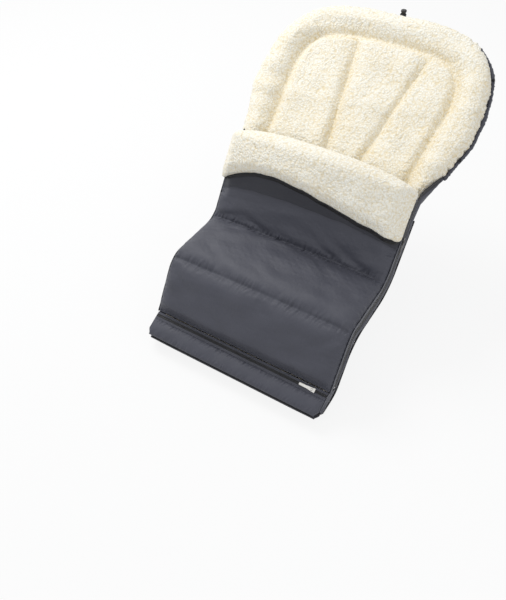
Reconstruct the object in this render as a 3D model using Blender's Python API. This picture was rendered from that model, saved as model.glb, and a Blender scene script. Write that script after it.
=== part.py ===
"""Winter footmuff for a pushchair seat: padded back with a head panel, quilted front cover, turned-down cuff.

Metres, +Z up. The head end points to +Y and the toe end to -Y. The part is alike left and right of X = 0, but for
the head panel's two sewn channels, which lie a little to the right.
The origin lies on the flat underside of the thigh part, where the footmuff rests on the seat.
"""
import math

import bmesh
import bpy
from mathutils import Matrix, Vector

for old in list(bpy.data.objects):
    bpy.data.objects.remove(old, do_unlink=True)

# Widths, half of each, from the middle to the outer edge
BACK_HALF = 0.204
HEAD_HALF = 0.248

# Lengths along the side line, from the cuff's fold to the toe
TORSO = 0.185
THIGH = 0.152
SHIN = 0.128
TOE = 0.052

# Slopes of the runs, in degrees below the horizontal on the way to the toe
HEAD_SLOPE = 35.0
TORSO_SLOPE = 57.0
SHIN_SLOPE = 58.0
TOE_SLOPE = 26.0

# Head panel, measured up from the fold
HEAD_STRAIGHT = 0.148
HEAD_LENGTH = 0.376
HEAD_POWER = 3.3
ARCH_HALF_LOW = 0.162
ARCH_HALF = 0.180
ARCH_STRAIGHT = 0.200
ARCH_TOP = 0.315
ARCH_POWER = 3.3
CHANNEL_HALF_LOW = 0.033
CHANNEL_HALF_TOP = 0.083
CHANNEL_ASIDE = 0.017

# Depth of the bag below the side line, for each run
HEAD_DEPTH = 0.050
TORSO_DEPTH = 0.045
THIGH_DEPTH = 0.040
SHIN_DEPTH = 0.036
TOE_DEPTH = 0.0068

# Sag of the lying surface between its edges
HEAD_SAG = 0.004
TORSO_SAG = 0.030
THIGH_SAG = 0.035
SHIN_SAG = 0.022
SAG_SHOULDER = 0.28

# Bend radii
COVER_HIP_RADIUS = 0.050
COVER_KNEE_RADIUS = 0.050
BACK_NAPE_RADIUS = 0.150
BACK_HIP_RADIUS = 0.080
BACK_KNEE_RADIUS = 0.085
BACK_HEEL_RADIUS = 0.030

# Cloth and padding
GAP = 0.0003
SHELL = 0.0015
BACK_LOFT = 0.013
BACK_LOFT_EDGE = 0.004
FLEECE = 0.008
FLEECE_EDGE = 0.0037
RIM_RISE = 0.012
RIM_SLOPE = 0.036
SEAM_WIDTH = 0.0085
SEAM_DEPTH = 0.0080
SEAM_REACH = 0.015
EDGE_REACH = 0.034
EDGE_ROUND = 2.1
COVER_LOFT = 0.013
COVER_LOFT_EDGE = 0.003
COVER_FLEECE = 0.007
COVER_FLEECE_EDGE = 0.0022
QUILT_RISE = 0.013
FOLD_DOME = 0.034
LAP_DOME = 0.008

# Cuff
CUFF_LENGTH = 0.095
CUFF_BOW = 0.036
CUFF_SKEW = 0.030
BOW_POWER = 2.5
CUFF_LOFT = 0.016
CUFF_EDGE = 0.006
CUFF_THIN = 0.0012
CUFF_FLEECE = 0.009
CUFF_FLEECE_THIN = 0.0035
CUFF_NOSE = 0.034
CUFF_LIFT = 0.0016
ROLL_REACH = 0.006
FOLD_BOW = 0.023
BAND_WIDTH = 0.016
BAND_BOW = 0.018
BAND = 0.002

# Zips
TAPE = 0.0008
CHAIN = 0.0020
CHAIN_WIDTH = 0.0030
CHAIN_GAP = 0.0012
COVER_TAPE_TOP = 0.0010
ZIP_DROP = 0.0155
BACK_TAPE_WIDTH = 0.0105
GUSSET = 0.0012
GUSSET_LAP = 0.0060
GUSSET_RUNOUT = 0.070
PIPING = 0.0016
TOE_PIPING = 0.0022
STOP_LENGTH = 0.004

# Sliders and their pulls
SLIDER_LENGTH = 0.014
SLIDER_PLATE = 0.0014
SLIDER_CLEAR = 0.0004
SLIDER_LIP = 0.0010
POST = 0.0007
BRIDGE_LENGTH = 0.0056
BRIDGE_HALF = 0.0014
BRIDGE_TALL = 0.0019
BRIDGE_BAR = 0.0008
SIDE_SLIDER_DOWN = 0.093
PULL_LENGTH = 0.028
PULL_HALF = 0.0034
PULL_RAIL = 0.0012
PULL_WINDOW = 0.0070
PULL = 0.0011

# Foot zip, measured down the toe from the hinge line
FOOT_TAPE = 0.0035
FOOT_SLIDER_X = 0.172
TOE_RISE = 0.006

# Harness slots
SLOT_LONG = 0.046
SLOT_TALL = 0.016
SLOT_WALL = 0.0010
SHOULDER_X = 0.062
SHOULDER_DOWN = 0.060
WAIST_X = 0.095
WAIST_DOWN = 0.128
CROTCH_TALL = 0.018

# Drawcord and its lock
CORD = 0.0018
CASING_WALL = 0.0012
CASING_REACH = 0.0060
WINDOW = 0.016
LOCK_RADIUS = 0.0068
LOCK_BORE = 0.0052
LOCK_RISE = 0.0110
LOCK_DROP = 0.0130
BUTTON_TRAVEL = 0.0035
BUTTON_HEAD = 0.0045

# Colours, linear
GREY_CLOTH = (0.085, 0.087, 0.112, 1.0)
BLACK_CLOTH = (0.010, 0.010, 0.014, 1.0)
CREAM_FLEECE = (0.88, 0.83, 0.68, 1.0)
WHITE_WADDING = (0.85, 0.85, 0.83, 1.0)
BLACK_PLASTIC = (0.012, 0.012, 0.013, 1.0)
NICKEL = (0.62, 0.62, 0.60, 1.0)


def material(name, colour, roughness, metallic=0.0):
    made = bpy.data.materials.get(name) or bpy.data.materials.new(name)
    made.use_nodes = True
    shader = made.node_tree.nodes["Principled BSDF"]
    shader.inputs["Base Color"].default_value = colour
    shader.inputs["Roughness"].default_value = roughness
    shader.inputs["Metallic"].default_value = metallic
    return made


def shell_cloth():
    return material("shell_cloth", GREY_CLOTH, 0.62)


def black_tape():
    return material("black_tape", BLACK_CLOTH, 0.75)


def fleece():
    return material("fleece", CREAM_FLEECE, 0.95)


def wadding():
    return material("wadding", WHITE_WADDING, 0.95)


def black_plastic():
    return material("black_plastic", BLACK_PLASTIC, 0.4)


def nickel():
    return material("nickel", NICKEL, 0.25, 1.0)


def finish(name, bm, made_of, smooth=True):
    bmesh.ops.recalc_face_normals(bm, faces=bm.faces)
    mesh = bpy.data.meshes.new(name)
    bm.to_mesh(mesh)
    bm.free()
    mesh.materials.append(made_of)
    if smooth:
        mesh.shade_smooth()
        mesh.set_sharp_from_angle(angle=math.radians(40))
    part = bpy.data.objects.new(name, mesh)
    bpy.context.scene.collection.objects.link(part)
    return part


def set_origin(part, place):
    """Puts a part's own origin on its joint's axis and leaves its shape where it is."""
    part.data.transform(Matrix.Translation(-Vector(place)))
    part.location = place
    return part


# Paths in the side view, as points (y, z); s runs from the fold towards the toe


def heading(slope):
    """The way a run goes towards the toe, when it falls by slope degrees."""
    a = math.radians(slope)
    return Vector((-math.cos(a), -math.sin(a)))


def outward(way):
    """The side of a run that faces up and away from the lying child."""
    return Vector((way.y, -way.x))


def crossing(point_a, way_a, point_b, way_b):
    """Where two straight lines in the side view meet."""
    across = way_a.x * way_b.y - way_a.y * way_b.x
    step = point_b - point_a
    return point_a + way_a * ((step.x * way_b.y - step.y * way_b.x) / across)


def rounded_path(corners, radii):
    """Straight runs between the corners, joined by arcs: a list of (length, start, way, signed radius)."""
    pieces = []
    start = corners[0]
    for corner, after, radius in zip(corners[1:-1], corners[2:], radii):
        way = (corner - start).normalized()
        turned = (after - corner).normalized()
        turn = way.angle_signed(turned)
        tangent = radius * math.tan(abs(turn) / 2)
        pieces.append(((corner - start).length - tangent, start, way, 0.0))
        start = corner - way * tangent
        pieces.append((radius * abs(turn), start, way, math.copysign(radius, turn)))
        start = corner + turned * tangent
    pieces.append(((corners[-1] - start).length, start, (corners[-1] - start).normalized(), 0.0))
    return pieces


def turned_by(way, angle):
    """A direction in the side view turned clockwise by an angle."""
    c, s = math.cos(angle), math.sin(angle)
    return Vector((way.x * c + way.y * s, way.y * c - way.x * s))


def along(path, s):
    """The point and the way at a length s along a path; past its ends it runs straight on."""
    for i, (length, start, way, radius) in enumerate(path):
        if s <= length or i == len(path) - 1:
            break
        s -= length
    if radius == 0.0:
        return start + way * s, way
    angle = s / radius
    centre = start + turned_by(way, math.pi / 2) * radius
    now = turned_by(way, angle)
    return centre - turned_by(now, math.pi / 2) * radius, now


def spot(path, x, s, h):
    """A point at x, at a length s along the path and a height h outward of it."""
    point, way = along(path, s)
    lifted = point + outward(way) * h
    return Vector((x, lifted.x, lifted.y))


def ends_of(path):
    """The lengths at which a path's pieces start and end."""
    marks = [0.0]
    for length, _, _, _ in path:
        marks.append(marks[-1] + length)
    return marks


def matched(path, other, fractions):
    """Pairs of lengths at like places on two paths with the same number of pieces."""
    marks, others = ends_of(path), ends_of(other)
    pairs = []
    for i, steps in enumerate(fractions):
        for k in range(steps):
            f = k / steps
            pairs.append((marks[i] + (marks[i + 1] - marks[i]) * f, others[i] + (others[i + 1] - others[i]) * f))
    pairs.append((marks[-1], others[-1]))
    return pairs


HEAD_WAY = heading(HEAD_SLOPE)
TORSO_WAY = heading(TORSO_SLOPE)
THIGH_WAY = heading(0.0)
SHIN_WAY = heading(SHIN_SLOPE)
TOE_WAY = heading(TOE_SLOPE)

BACK_THICK = SHELL + GAP + BACK_LOFT + GAP + FLEECE
BACK_EDGE_THICK = SHELL + GAP + BACK_LOFT_EDGE + GAP + FLEECE_EDGE
THIGH_RISE = THIGH_DEPTH + THIGH_SAG + BACK_EDGE_THICK

# Corners of the side line; the thigh run lies level, above the flat underside at the origin
HIP = Vector((0.070, THIGH_RISE))
FOLD = HIP - TORSO_WAY * TORSO
KNEE = HIP + THIGH_WAY * THIGH
ANKLE = KNEE + SHIN_WAY * SHIN
TOE_END = ANKLE + TOE_WAY * TOE
COVER_PATH = rounded_path([FOLD, HIP, KNEE, ANKLE], [COVER_HIP_RADIUS, COVER_KNEE_RADIUS])
TOE_PATH = rounded_path([ANKLE, TOE_END], [])


def sunk(point, way, depth):
    return point - outward(way) * depth


def back_corners():
    """Corners of the back's edge line, which lies at each run's own depth below the side line."""
    runs = [
        (sunk(FOLD, HEAD_WAY, HEAD_DEPTH), HEAD_WAY),
        (sunk(HIP, TORSO_WAY, TORSO_DEPTH), TORSO_WAY),
        (sunk(HIP, THIGH_WAY, THIGH_DEPTH), THIGH_WAY),
        (sunk(ANKLE, SHIN_WAY, SHIN_DEPTH), SHIN_WAY),
    ]
    corners = [runs[0][0] - HEAD_WAY * (HEAD_LENGTH + HEAD_DEPTH)]
    for (point, way), (next_point, next_way) in zip(runs, runs[1:]):
        corners.append(crossing(point, way, next_point, next_way))
    heel = sunk(ANKLE, SHIN_WAY, SHIN_DEPTH) + SHIN_WAY * 0.3 * SHIN_DEPTH
    corners.append(heel)
    corners.append(sunk(TOE_END, TOE_WAY, TOE_DEPTH))
    return corners


BACK_PATH = rounded_path(back_corners(), [BACK_NAPE_RADIUS, BACK_HIP_RADIUS, BACK_KNEE_RADIUS, BACK_HEEL_RADIUS])
BACK_MARKS = ends_of(BACK_PATH)
COVER_MARKS = ends_of(COVER_PATH)
BACK_END = BACK_MARKS[-1]


def head_zero():
    """The length along the back's path that lies straight below the fold."""
    foot = sunk(FOLD, HEAD_WAY, HEAD_DEPTH)
    return (foot - back_corners()[0]).length


HEAD_ZERO = head_zero()


def smooth(t):
    t = max(0.0, min(1.0, t))
    return t * t * (3 - 2 * t)


def plump(t):
    """0 at a sewn edge, rising steeply, and 1 over the padded middle."""
    t = max(0.0, min(1.0, t))
    return (1 - (1 - t) ** EDGE_ROUND) ** (1 / EDGE_ROUND)


def bump(distance, width):
    return math.exp(-((distance / width) ** 2))


# Meshes from rows of points


def loft(name, sections, made_of, smoothed=True):
    """A closed solid through rings of points, with both ends capped."""
    bm = bmesh.new()
    rings = [[bm.verts.new(p) for p in ring] for ring in sections]
    count = len(rings[0])
    for a, b in zip(rings, rings[1:]):
        for i in range(count):
            j = (i + 1) % count
            bm.faces.new((a[i], a[j], b[j], b[i]))
    bm.faces.new(rings[0])
    bm.faces.new(list(reversed(rings[-1])))
    return finish(name, bm, made_of, smoothed)


def pad(name, top, bottom, made_of):
    """A closed layer between two grids of points with the same rows; the bottom may have fewer columns."""
    bm = bmesh.new()
    upper = [[bm.verts.new(p) for p in row] for row in top]
    lower = [[bm.verts.new(p) for p in row] for row in bottom]
    for grid in (upper, lower):
        for a, b in zip(grid, grid[1:]):
            for i in range(len(a) - 1):
                bm.faces.new((a[i], a[i + 1], b[i + 1], b[i]))
    for a, b, c, d in zip(upper, upper[1:], lower, lower[1:]):
        bm.faces.new((a[0], b[0], d[0], c[0]))
        bm.faces.new((a[-1], b[-1], d[-1], c[-1]))
    bm.faces.new(upper[0] + lower[0][::-1])
    bm.faces.new(upper[-1] + lower[-1][::-1])
    return finish(name, bm, made_of)


def block(name, corners, made_of):
    """A box through eight corners: four of one end, then the four that face them."""
    return loft(name, [corners[:4], corners[4:]], made_of, False)


def tube(name, centres, radius, sides, made_of):
    """A round cord through points that all lie in one plane square to X, or in one row along X."""
    sections = []
    for i, centre in enumerate(centres):
        before = centres[max(i - 1, 0)]
        after = centres[min(i + 1, len(centres) - 1)]
        way = (after - before).normalized()
        side = Vector((1, 0, 0)) if abs(way.x) < 0.5 else Vector((0, 1, 0))
        up = way.cross(side).normalized()
        side = up.cross(way).normalized()
        turns = [2 * math.pi * (k + 0.5) / sides for k in range(sides)]
        sections.append([centre + side * math.cos(a) * radius + up * math.sin(a) * radius for a in turns])
    return loft(name, sections, made_of)


def cylinder(name, radius, low, high, at, sides, made_of):
    """An upright cylinder about a place given by x and y."""
    turns = [2 * math.pi * (k + 0.5) / sides for k in range(sides)]
    rings = []
    for z in (low, high):
        rings.append([Vector((at[0] + radius * math.cos(a), at[1] + radius * math.sin(a), z)) for a in turns])
    return loft(name, rings, made_of)


def cut(part, cutter):
    """Takes the cutter's space out of a part."""
    cutter.hide_render = True
    cutter.display_type = "WIRE"
    modifier = part.modifiers.new("cut_" + cutter.name, "BOOLEAN")
    modifier.operation = "DIFFERENCE"
    modifier.object = cutter


# Back: shell, wadding and fleece, one above the other


def head_half(q):
    """Half the width of the head panel at a height q above the fold."""
    if q <= 0:
        return BACK_HALF
    if q <= HEAD_STRAIGHT:
        return BACK_HALF + (HEAD_HALF - BACK_HALF) * q / HEAD_STRAIGHT
    rise = min((q - HEAD_STRAIGHT) / (HEAD_LENGTH - HEAD_STRAIGHT), 1.0)
    return HEAD_HALF * (1 - rise**HEAD_POWER) ** (1 / HEAD_POWER)


def back_half(s):
    """Half the width of the back; the toe's corners are eased in."""
    narrow = 0.006 * smooth((s - BACK_END + 0.012) / 0.012)
    return head_half(HEAD_ZERO - s) - narrow


def back_sag(s):
    """How far the lying surface sags between its edges."""
    stops = [
        (HEAD_ZERO - 0.06, HEAD_SAG),
        (HEAD_ZERO + 0.05, TORSO_SAG),
        ((BACK_MARKS[4] + BACK_MARKS[5]) / 2, THIGH_SAG),
        (BACK_MARKS[5], THIGH_SAG),
        (BACK_MARKS[7], SHIN_SAG),
        (BACK_END, 0.001),
    ]
    if s <= stops[0][0]:
        return stops[0][1] * smooth((s - HEAD_ROW) / 0.05)
    for (a, low), (b, high) in zip(stops, stops[1:]):
        if s <= b:
            return low + (high - low) * smooth((s - a) / (b - a))
    return stops[-1][1]


def back_height(s, u, h):
    """Height of a layer h above the shell's underside, with the sag across the width."""
    return h - BACK_EDGE_THICK - back_sag(s) * smooth((1 - abs(u)) / SAG_SHOULDER)


def fullness(u):
    """0 at a drawn-in edge and 1 over the padded middle."""
    return smooth((1 - abs(u)) / 0.16)


def arch_leg(q):
    """Half the distance between the arch seam's legs, before they bend in."""
    return ARCH_HALF_LOW + (ARCH_HALF - ARCH_HALF_LOW) * max(0.0, min(q / ARCH_STRAIGHT, 1.0))


def arch_half(q):
    """Half the distance between the arch seam's two sides at a height q above the fold."""
    rise = max(0.0, min((q - ARCH_STRAIGHT) / (ARCH_TOP - ARCH_STRAIGHT), 1.0))
    return arch_leg(q) * (1 - rise**ARCH_POWER) ** (1 / ARCH_POWER)


def channel_half(q):
    return CHANNEL_HALF_LOW + (CHANNEL_HALF_TOP - CHANNEL_HALF_LOW) * q / ARCH_TOP


def arch_distance(x, q):
    """Signed distance outside the arch-shaped seam, near enough; negative inside it."""
    half = arch_leg(q)
    if q <= ARCH_STRAIGHT:
        return abs(x) - half
    rise = (q - ARCH_STRAIGHT) / (ARCH_TOP - ARCH_STRAIGHT)
    reach = ((abs(x) / half) ** ARCH_POWER + rise**ARCH_POWER) ** (1 / ARCH_POWER)
    return (reach - 1) * (half if abs(x) / half > rise else ARCH_TOP - ARCH_STRAIGHT)


def head_form(x, s):
    """The head panel's padded rim, its arch seam and the two channels that run together below."""
    q = HEAD_ZERO - s
    if q < -0.02:
        return 0.0
    fade = smooth((q + 0.02) / 0.05)
    away = arch_distance(x, q)
    channel = channel_half(q)
    form = RIM_RISE * smooth((away + 0.004) / RIM_SLOPE)
    form += 0.004 * smooth((-away - 0.004) / 0.02)
    form -= SEAM_DEPTH * bump(away, SEAM_WIDTH)
    form -= SEAM_DEPTH * bump(abs(x - CHANNEL_ASIDE) - channel, SEAM_WIDTH) * smooth(-away / 0.01)
    return form * fade


FINE = (0.14, 0.28, 0.45, 0.62, 0.75, 0.86, 0.95, 1)
FINE_MOST = (0.40, 0.48, 0.56, 0.68, 0.80, 0.89, 0.965, 1)
COARSE = (-1, -0.86, -0.62, -0.2, 0.2, 0.62, 0.86, 1)


def shares(low, high, steps):
    return [low + (high - low) * k / steps for k in range(steps)]


def back_rows():
    """Lengths along the back's path at which it has a row of points."""
    top = []
    arch = HEAD_LENGTH - HEAD_STRAIGHT
    for turn in (84, 73.5, 63, 52.5, 42, 21, 10.5):
        top.append(HEAD_ZERO - HEAD_STRAIGHT - arch * math.sin(math.radians(turn)) ** (2 / HEAD_POWER))
    top += [HEAD_ZERO - ARCH_TOP, HEAD_ZERO - ARCH_TOP + SEAM_REACH]
    rows = top + shares(HEAD_ZERO - HEAD_STRAIGHT, BACK_MARKS[1], 3)
    counts = (2, 2, 5, 1, 5, 1, 2, 1)
    for i, steps in enumerate(counts):
        rows += shares(BACK_MARKS[i + 1], BACK_MARKS[i + 2], steps)
    return sorted(rows + [HEAD_ZERO, BACK_END - 0.006, BACK_END])


BACK_ROWS = back_rows()
HEAD_ROW = BACK_ROWS[0]


def side_columns(s, side):
    """Places across one side of the back's padding: on the head panel its columns follow the sewn seams."""
    half, q = back_half(s), HEAD_ZERO - s
    if q < 0:
        return list(FINE)
    channel = channel_half(q) + side * CHANNEL_ASIDE
    arch = max(arch_half(q), channel + 0.05)
    seams = (channel - SEAM_REACH, channel, channel + SEAM_REACH, arch - SEAM_REACH, arch, arch + 0.02)
    return [min(x / half, most) for x, most in zip(seams, FINE_MOST)] + list(FINE_MOST[6:])


def fine_columns(s):
    return [-u for u in reversed(side_columns(s, -1))] + [0] + side_columns(s, 1)


def back_grid(columns, h_edge, h_middle, formed):
    grid = []
    for s in BACK_ROWS:
        half = back_half(s)
        ends = plump((s - HEAD_ROW) / EDGE_REACH) * smooth((BACK_END - s) / 0.05)
        row = []
        for u in fine_columns(s) if columns is FINE else columns:
            full = plump((1 - abs(u)) * half / EDGE_REACH) * ends
            h = h_edge + (h_middle - h_edge) * full
            if formed:
                h += head_form(u * half, s) * full
            row.append(spot(BACK_PATH, u * half, s, back_height(s, u, h)))
        grid.append(row)
    return grid


def build_back():
    low = 0.0
    parts = []
    shell_top = low + SHELL
    parts.append(
        pad("back_shell", back_grid(COARSE, shell_top, shell_top, False), back_grid(COARSE, 0, 0, False), shell_cloth())
    )
    base = shell_top + GAP
    edge = base + BACK_LOFT_EDGE
    middle = base + BACK_LOFT
    parts.append(
        pad("back_wadding", back_grid(FINE, edge, middle, True), back_grid(COARSE, base, base, False), wadding())
    )
    edge += GAP
    middle += GAP
    top = back_grid(FINE, edge + FLEECE_EDGE, middle + FLEECE, True)
    parts.append(pad("back_lining", top, back_grid(FINE, edge, middle, True), fleece()))
    return parts


def back_plane_y(x, z, s, h):
    """The y at which a level line through z meets the layer at height h, near the length s."""
    u = x / back_half(s)
    point, way = along(BACK_PATH, s)
    lifted = point + outward(way) * back_height(s, u, h)
    return lifted.x + way.x * (z - lifted.y) / way.y


def slot_places():
    """Name, middle x, length along the back and cutting direction of each harness slot."""
    torso = BACK_MARKS[2]
    places = []
    for name, side in (("left", -1), ("right", 1)):
        places.append(("shoulder_slot_binding_" + name, side * SHOULDER_X, torso + SHOULDER_DOWN - 0.02, "Y"))
        places.append(("waist_slot_binding_" + name, side * WAIST_X, torso + WAIST_DOWN - 0.02, "Y"))
    places.append(("crotch_slot_binding", 0.0, BACK_MARKS[4] + 0.012, "Z"))
    return places


def frame_solid(name, outer, inner, made_of):
    """A short rectangular sleeve: outer and inner hold eight corners each, four at each end."""
    bm = bmesh.new()
    rings = [[bm.verts.new(p) for p in ring] for ring in (outer[:4], outer[4:], inner[4:], inner[:4])]
    for a, b in zip(rings, rings[1:] + rings[:1]):
        for i in range(4):
            j = (i + 1) % 4
            bm.faces.new((a[i], a[j], b[j], b[i]))
    return finish(name, bm, made_of, False)


def slot_ring(x, middle, tall, reach):
    """Corners of a slot's outline, as (x, height)."""
    half = SLOT_LONG / 2 + reach
    up = tall / 2 + reach
    return [(x - half, middle - up), (x + half, middle - up), (x + half, middle + up), (x - half, middle + up)]


def build_slots(layers):
    """Sleeves that bind each harness slot, and the slots cut through the back's layers."""
    made = []
    for name, x, s, way in slot_places():
        centre = spot(BACK_PATH, x, s, back_height(s, x / BACK_HALF, BACK_THICK / 2))
        if way == "Y":
            def corner(point, h):
                return Vector((point[0], back_plane_y(x, point[1], s, h), point[1]))
            middle, tall = centre.z, SLOT_TALL
        else:
            def corner(point, h):
                z = spot(BACK_PATH, x, s, back_height(s, 0, h)).z
                return Vector((point[0], point[1], z))
            middle, tall = centre.y, CROTCH_TALL
        proud = 0.001
        ends = (-proud, BACK_THICK + proud)
        outer_ring = slot_ring(x, middle, tall, SLOT_WALL)
        inner_ring = slot_ring(x, middle, tall, 0.0)
        outer = [corner(p, h) for h in ends for p in outer_ring]
        inner = [corner(p, h) for h in ends for p in inner_ring]
        made.append(frame_solid(name, outer, inner, black_tape()))
        cut_ring = slot_ring(x, middle, tall, SLOT_WALL + GAP)
        cutter = block("cut_" + name, [corner(p, h) for h in (-0.02, 0.06) for p in cut_ring], black_tape())
        for layer in layers:
            cut(layer, cutter)
    return made


# Front cover: quilted shell, wadding and fleece lining over the legs


def cover_rows():
    """Lengths along the cover at which it has a row of points: close to each quilt seam, sparse between."""
    hip = (COVER_MARKS[1] + COVER_MARKS[2]) / 2
    knee = (COVER_MARKS[3] + COVER_MARKS[4]) / 2
    rows = []
    steps = (0, 0.06, 0.2, 0.5, 0.8, 0.94)
    for a, b in ((0.0, hip), (hip, knee), (knee, COVER_MARKS[-1])):
        rows += [a + (b - a) * f for f in steps]
    return rows + [COVER_MARKS[-1]], (0.0, hip, knee, COVER_MARKS[-1])


COVER_ROWS, QUILT_SEAMS = cover_rows()
COVER_HALF = BACK_HALF + GAP + GUSSET
COVER_COLUMNS = (-1, -0.93, -0.78, -0.42, 0, 0.42, 0.78, 0.93, 1)
HINGE_CLEAR = 0.0004


def quilt(s):
    """0 on a quilt seam and 1 on the pillow between two seams; the first pillow is full up to the fold."""
    for a, b in zip(QUILT_SEAMS, QUILT_SEAMS[1:]):
        if a <= s <= b:
            t = 2 * (s - a) / (b - a) - 1
            return 1 - abs(t) ** 3 if a > 0 or t > 0 else 1.0
    return 0.0


def cover_dome(s):
    """How high the cover's middle stands above its side line."""
    rise = LAP_DOME + (FOLD_DOME - LAP_DOME) * (1 - smooth(s / QUILT_SEAMS[1]))
    return rise * smooth((COVER_MARKS[-1] - s) / 0.03)


def cover_grid(h_edge, h_middle, risen):
    end = COVER_MARKS[-1] - HINGE_CLEAR
    grid = []
    for s in COVER_ROWS:
        row = []
        for u in COVER_COLUMNS:
            full = smooth((1 - abs(u)) / 0.14)
            h = h_edge + (h_middle - h_edge) * full + cover_dome(s) * (1 - u * u)
            h += risen * QUILT_RISE * quilt(s) * full
            row.append(spot(COVER_PATH, u * COVER_HALF, min(s, end), h))
        grid.append(row)
    return grid


def build_cover():
    top = 0.0
    shell_low = top - SHELL
    parts = [pad("cover_shell", cover_grid(top, top, 1.0), cover_grid(shell_low, shell_low, 1.0), shell_cloth())]
    high = shell_low - GAP
    edge_low = high - COVER_LOFT_EDGE
    low = high - COVER_LOFT
    parts.append(pad("cover_wadding", cover_grid(high, high, 1.0), cover_grid(edge_low, low, 0.0), wadding()))
    edge_low -= GAP
    low -= GAP
    bottom = cover_grid(edge_low - COVER_FLEECE_EDGE, low - COVER_FLEECE, 0.0)
    parts.append(pad("cover_lining", cover_grid(edge_low, low, 0.0), bottom, fleece()))
    return parts


# Cuff: the cover's top edge turned down over itself, fleece outwards


CUFF_START = 0.0005
CUFF_ROWS = (CUFF_START, 0.020, 0.045, 0.066, 0.080, 0.090, CUFF_LENGTH)
CUFF_COLUMNS = (-1, -0.93, -0.78, -0.42, 0, 0.42, 0.78, 0.93, 1)
BAND_ROWS = (0, 0.5, 1)


def bowed(u):
    """1 in the middle of the cuff and 0 at its sides."""
    return 1 - abs(u) ** BOW_POWER


def cuff_reach(u):
    """How far down the cover the cuff lies; its lower edge bows up, more on the left."""
    return CUFF_LENGTH - CUFF_BOW * bowed(u) + CUFF_SKEW * u * (1 - u * u)


def flap_place(row, u):
    return row * cuff_reach(u) / CUFF_LENGTH


def band_place(row, u):
    start = cuff_reach(u) + GAP
    return start + (CUFF_LENGTH + BAND_WIDTH - BAND_BOW * bowed(u) - start) * row


def cover_face(s, u):
    """Height of the cover's own outer face."""
    full = smooth((1 - abs(u)) / 0.14)
    return cover_dome(s) * (1 - u * u) + QUILT_RISE * quilt(s) * full


def cuff_loft(row, u):
    """Thickness of the cuff's padding, drawn in at its sides and rounded off at its lower edge."""
    full = CUFF_EDGE + (CUFF_LOFT - CUFF_EDGE) * smooth((1 - abs(u)) / 0.12)
    return CUFF_THIN + (full - CUFF_THIN) * plump((CUFF_LENGTH - row) / CUFF_NOSE)


def cuff_pile(row):
    """Thickness of the cuff's fleece, which thins towards its lower edge."""
    return CUFF_FLEECE_THIN + (CUFF_FLEECE - CUFF_FLEECE_THIN) * plump((CUFF_LENGTH - row) / CUFF_NOSE)


def cuff_grid(level, part_of_loft=0.0, rows=CUFF_ROWS, place=flap_place, part_of_pile=0.0):
    grid = []
    for row in rows:
        points = []
        for u in CUFF_COLUMNS:
            s = place(row, u)
            h = CUFF_LIFT + cover_face(s, u) + level + part_of_loft * cuff_loft(row, u) + part_of_pile * cuff_pile(row)
            points.append(spot(COVER_PATH, u * COVER_HALF, s, h))
        grid.append(points)
    return grid


def cuff_top(s, u):
    """Height of the cuff's fleece face at the fold."""
    return CUFF_LIFT + cover_face(s, u) + SHELL + GAP + GAP + cuff_loft(s, u) + cuff_pile(s)


def build_cuff():
    """The flap that lies on the cover, and the dark band along its lower edge."""
    wadding_low = SHELL + GAP
    fleece_low = wadding_low + GAP
    fleece_top = cuff_grid(fleece_low, 1.0, part_of_pile=1.0)
    band = [cuff_grid(level, 0.0, BAND_ROWS, band_place) for level in (BAND, 0.0)]
    return [
        pad("cuff_facing", cuff_grid(SHELL), cuff_grid(0.0), shell_cloth()),
        pad("cuff_wadding", cuff_grid(wadding_low, 1.0), cuff_grid(wadding_low), wadding()),
        pad("cuff_fleece", fleece_top, cuff_grid(fleece_low, 1.0), fleece()),
        pad("cuff_band", *band, black_tape()),
    ]


def build_fold_roll():
    """The fleece roll at the fold, which joins the cover's lining to the cuff and stays with the cover."""
    sections = []
    steps = 8
    for u in CUFF_COLUMNS:
        high = cuff_top(0.0, u)
        thin = COVER_LOFT_EDGE + COVER_FLEECE_EDGE
        thick = COVER_LOFT + COVER_FLEECE
        full = smooth((1 - abs(u)) / 0.14)
        low = cover_dome(0.0) * (1 - u * u) - SHELL - 2 * GAP - thin - (thick - thin) * full
        middle, reach = (high + low) / 2, (high - low) / 2
        ring = []
        for k in range(steps + 1):
            a = math.pi * (0.5 - k / steps)
            s = -CUFF_START - (min(ROLL_REACH, reach) + FOLD_BOW * (1 - abs(u) ** 3)) * math.cos(a)
            ring.append(spot(COVER_PATH, u * COVER_HALF, s, middle + reach * math.sin(a)))
        sections.append(ring)
    return [loft("fold_roll", sections, fleece())]


# Sides: gusset, zip tapes, zip chains, end stops and piping


TAPE_IN = COVER_HALF + GAP
CHAIN_MIDDLE = TAPE_IN + TAPE / 2
CHAIN_IN = CHAIN_MIDDLE - CHAIN / 2
COVER_CHAIN_LOW = ZIP_DROP - CHAIN_GAP / 2
BACK_CHAIN_TOP = ZIP_DROP + CHAIN_GAP / 2
COVER_TAPE_LOW = COVER_CHAIN_LOW - CHAIN_WIDTH - GAP
BACK_TAPE_TOP = BACK_CHAIN_TOP + CHAIN_WIDTH + GAP
BACK_TAPE_LOW = BACK_TAPE_TOP + BACK_TAPE_WIDTH
GUSSET_TOP = BACK_TAPE_TOP + 0.0042
SIDES = (("left", -1), ("right", 1))
FLARE = (0.0, 0.15, 0.4, 0.7, 0.9)
FLARE_FOOT = 0.020


def strip_rows(start, end):
    """Lengths along the cover at which a strip bends, between two ends."""
    rows = [start]
    for i, steps in enumerate((1, 5, 1, 5, 1)):
        rows += [s for s in shares(COVER_MARKS[i], COVER_MARKS[i + 1], steps) if start < s < end]
    return rows + [end]


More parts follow.
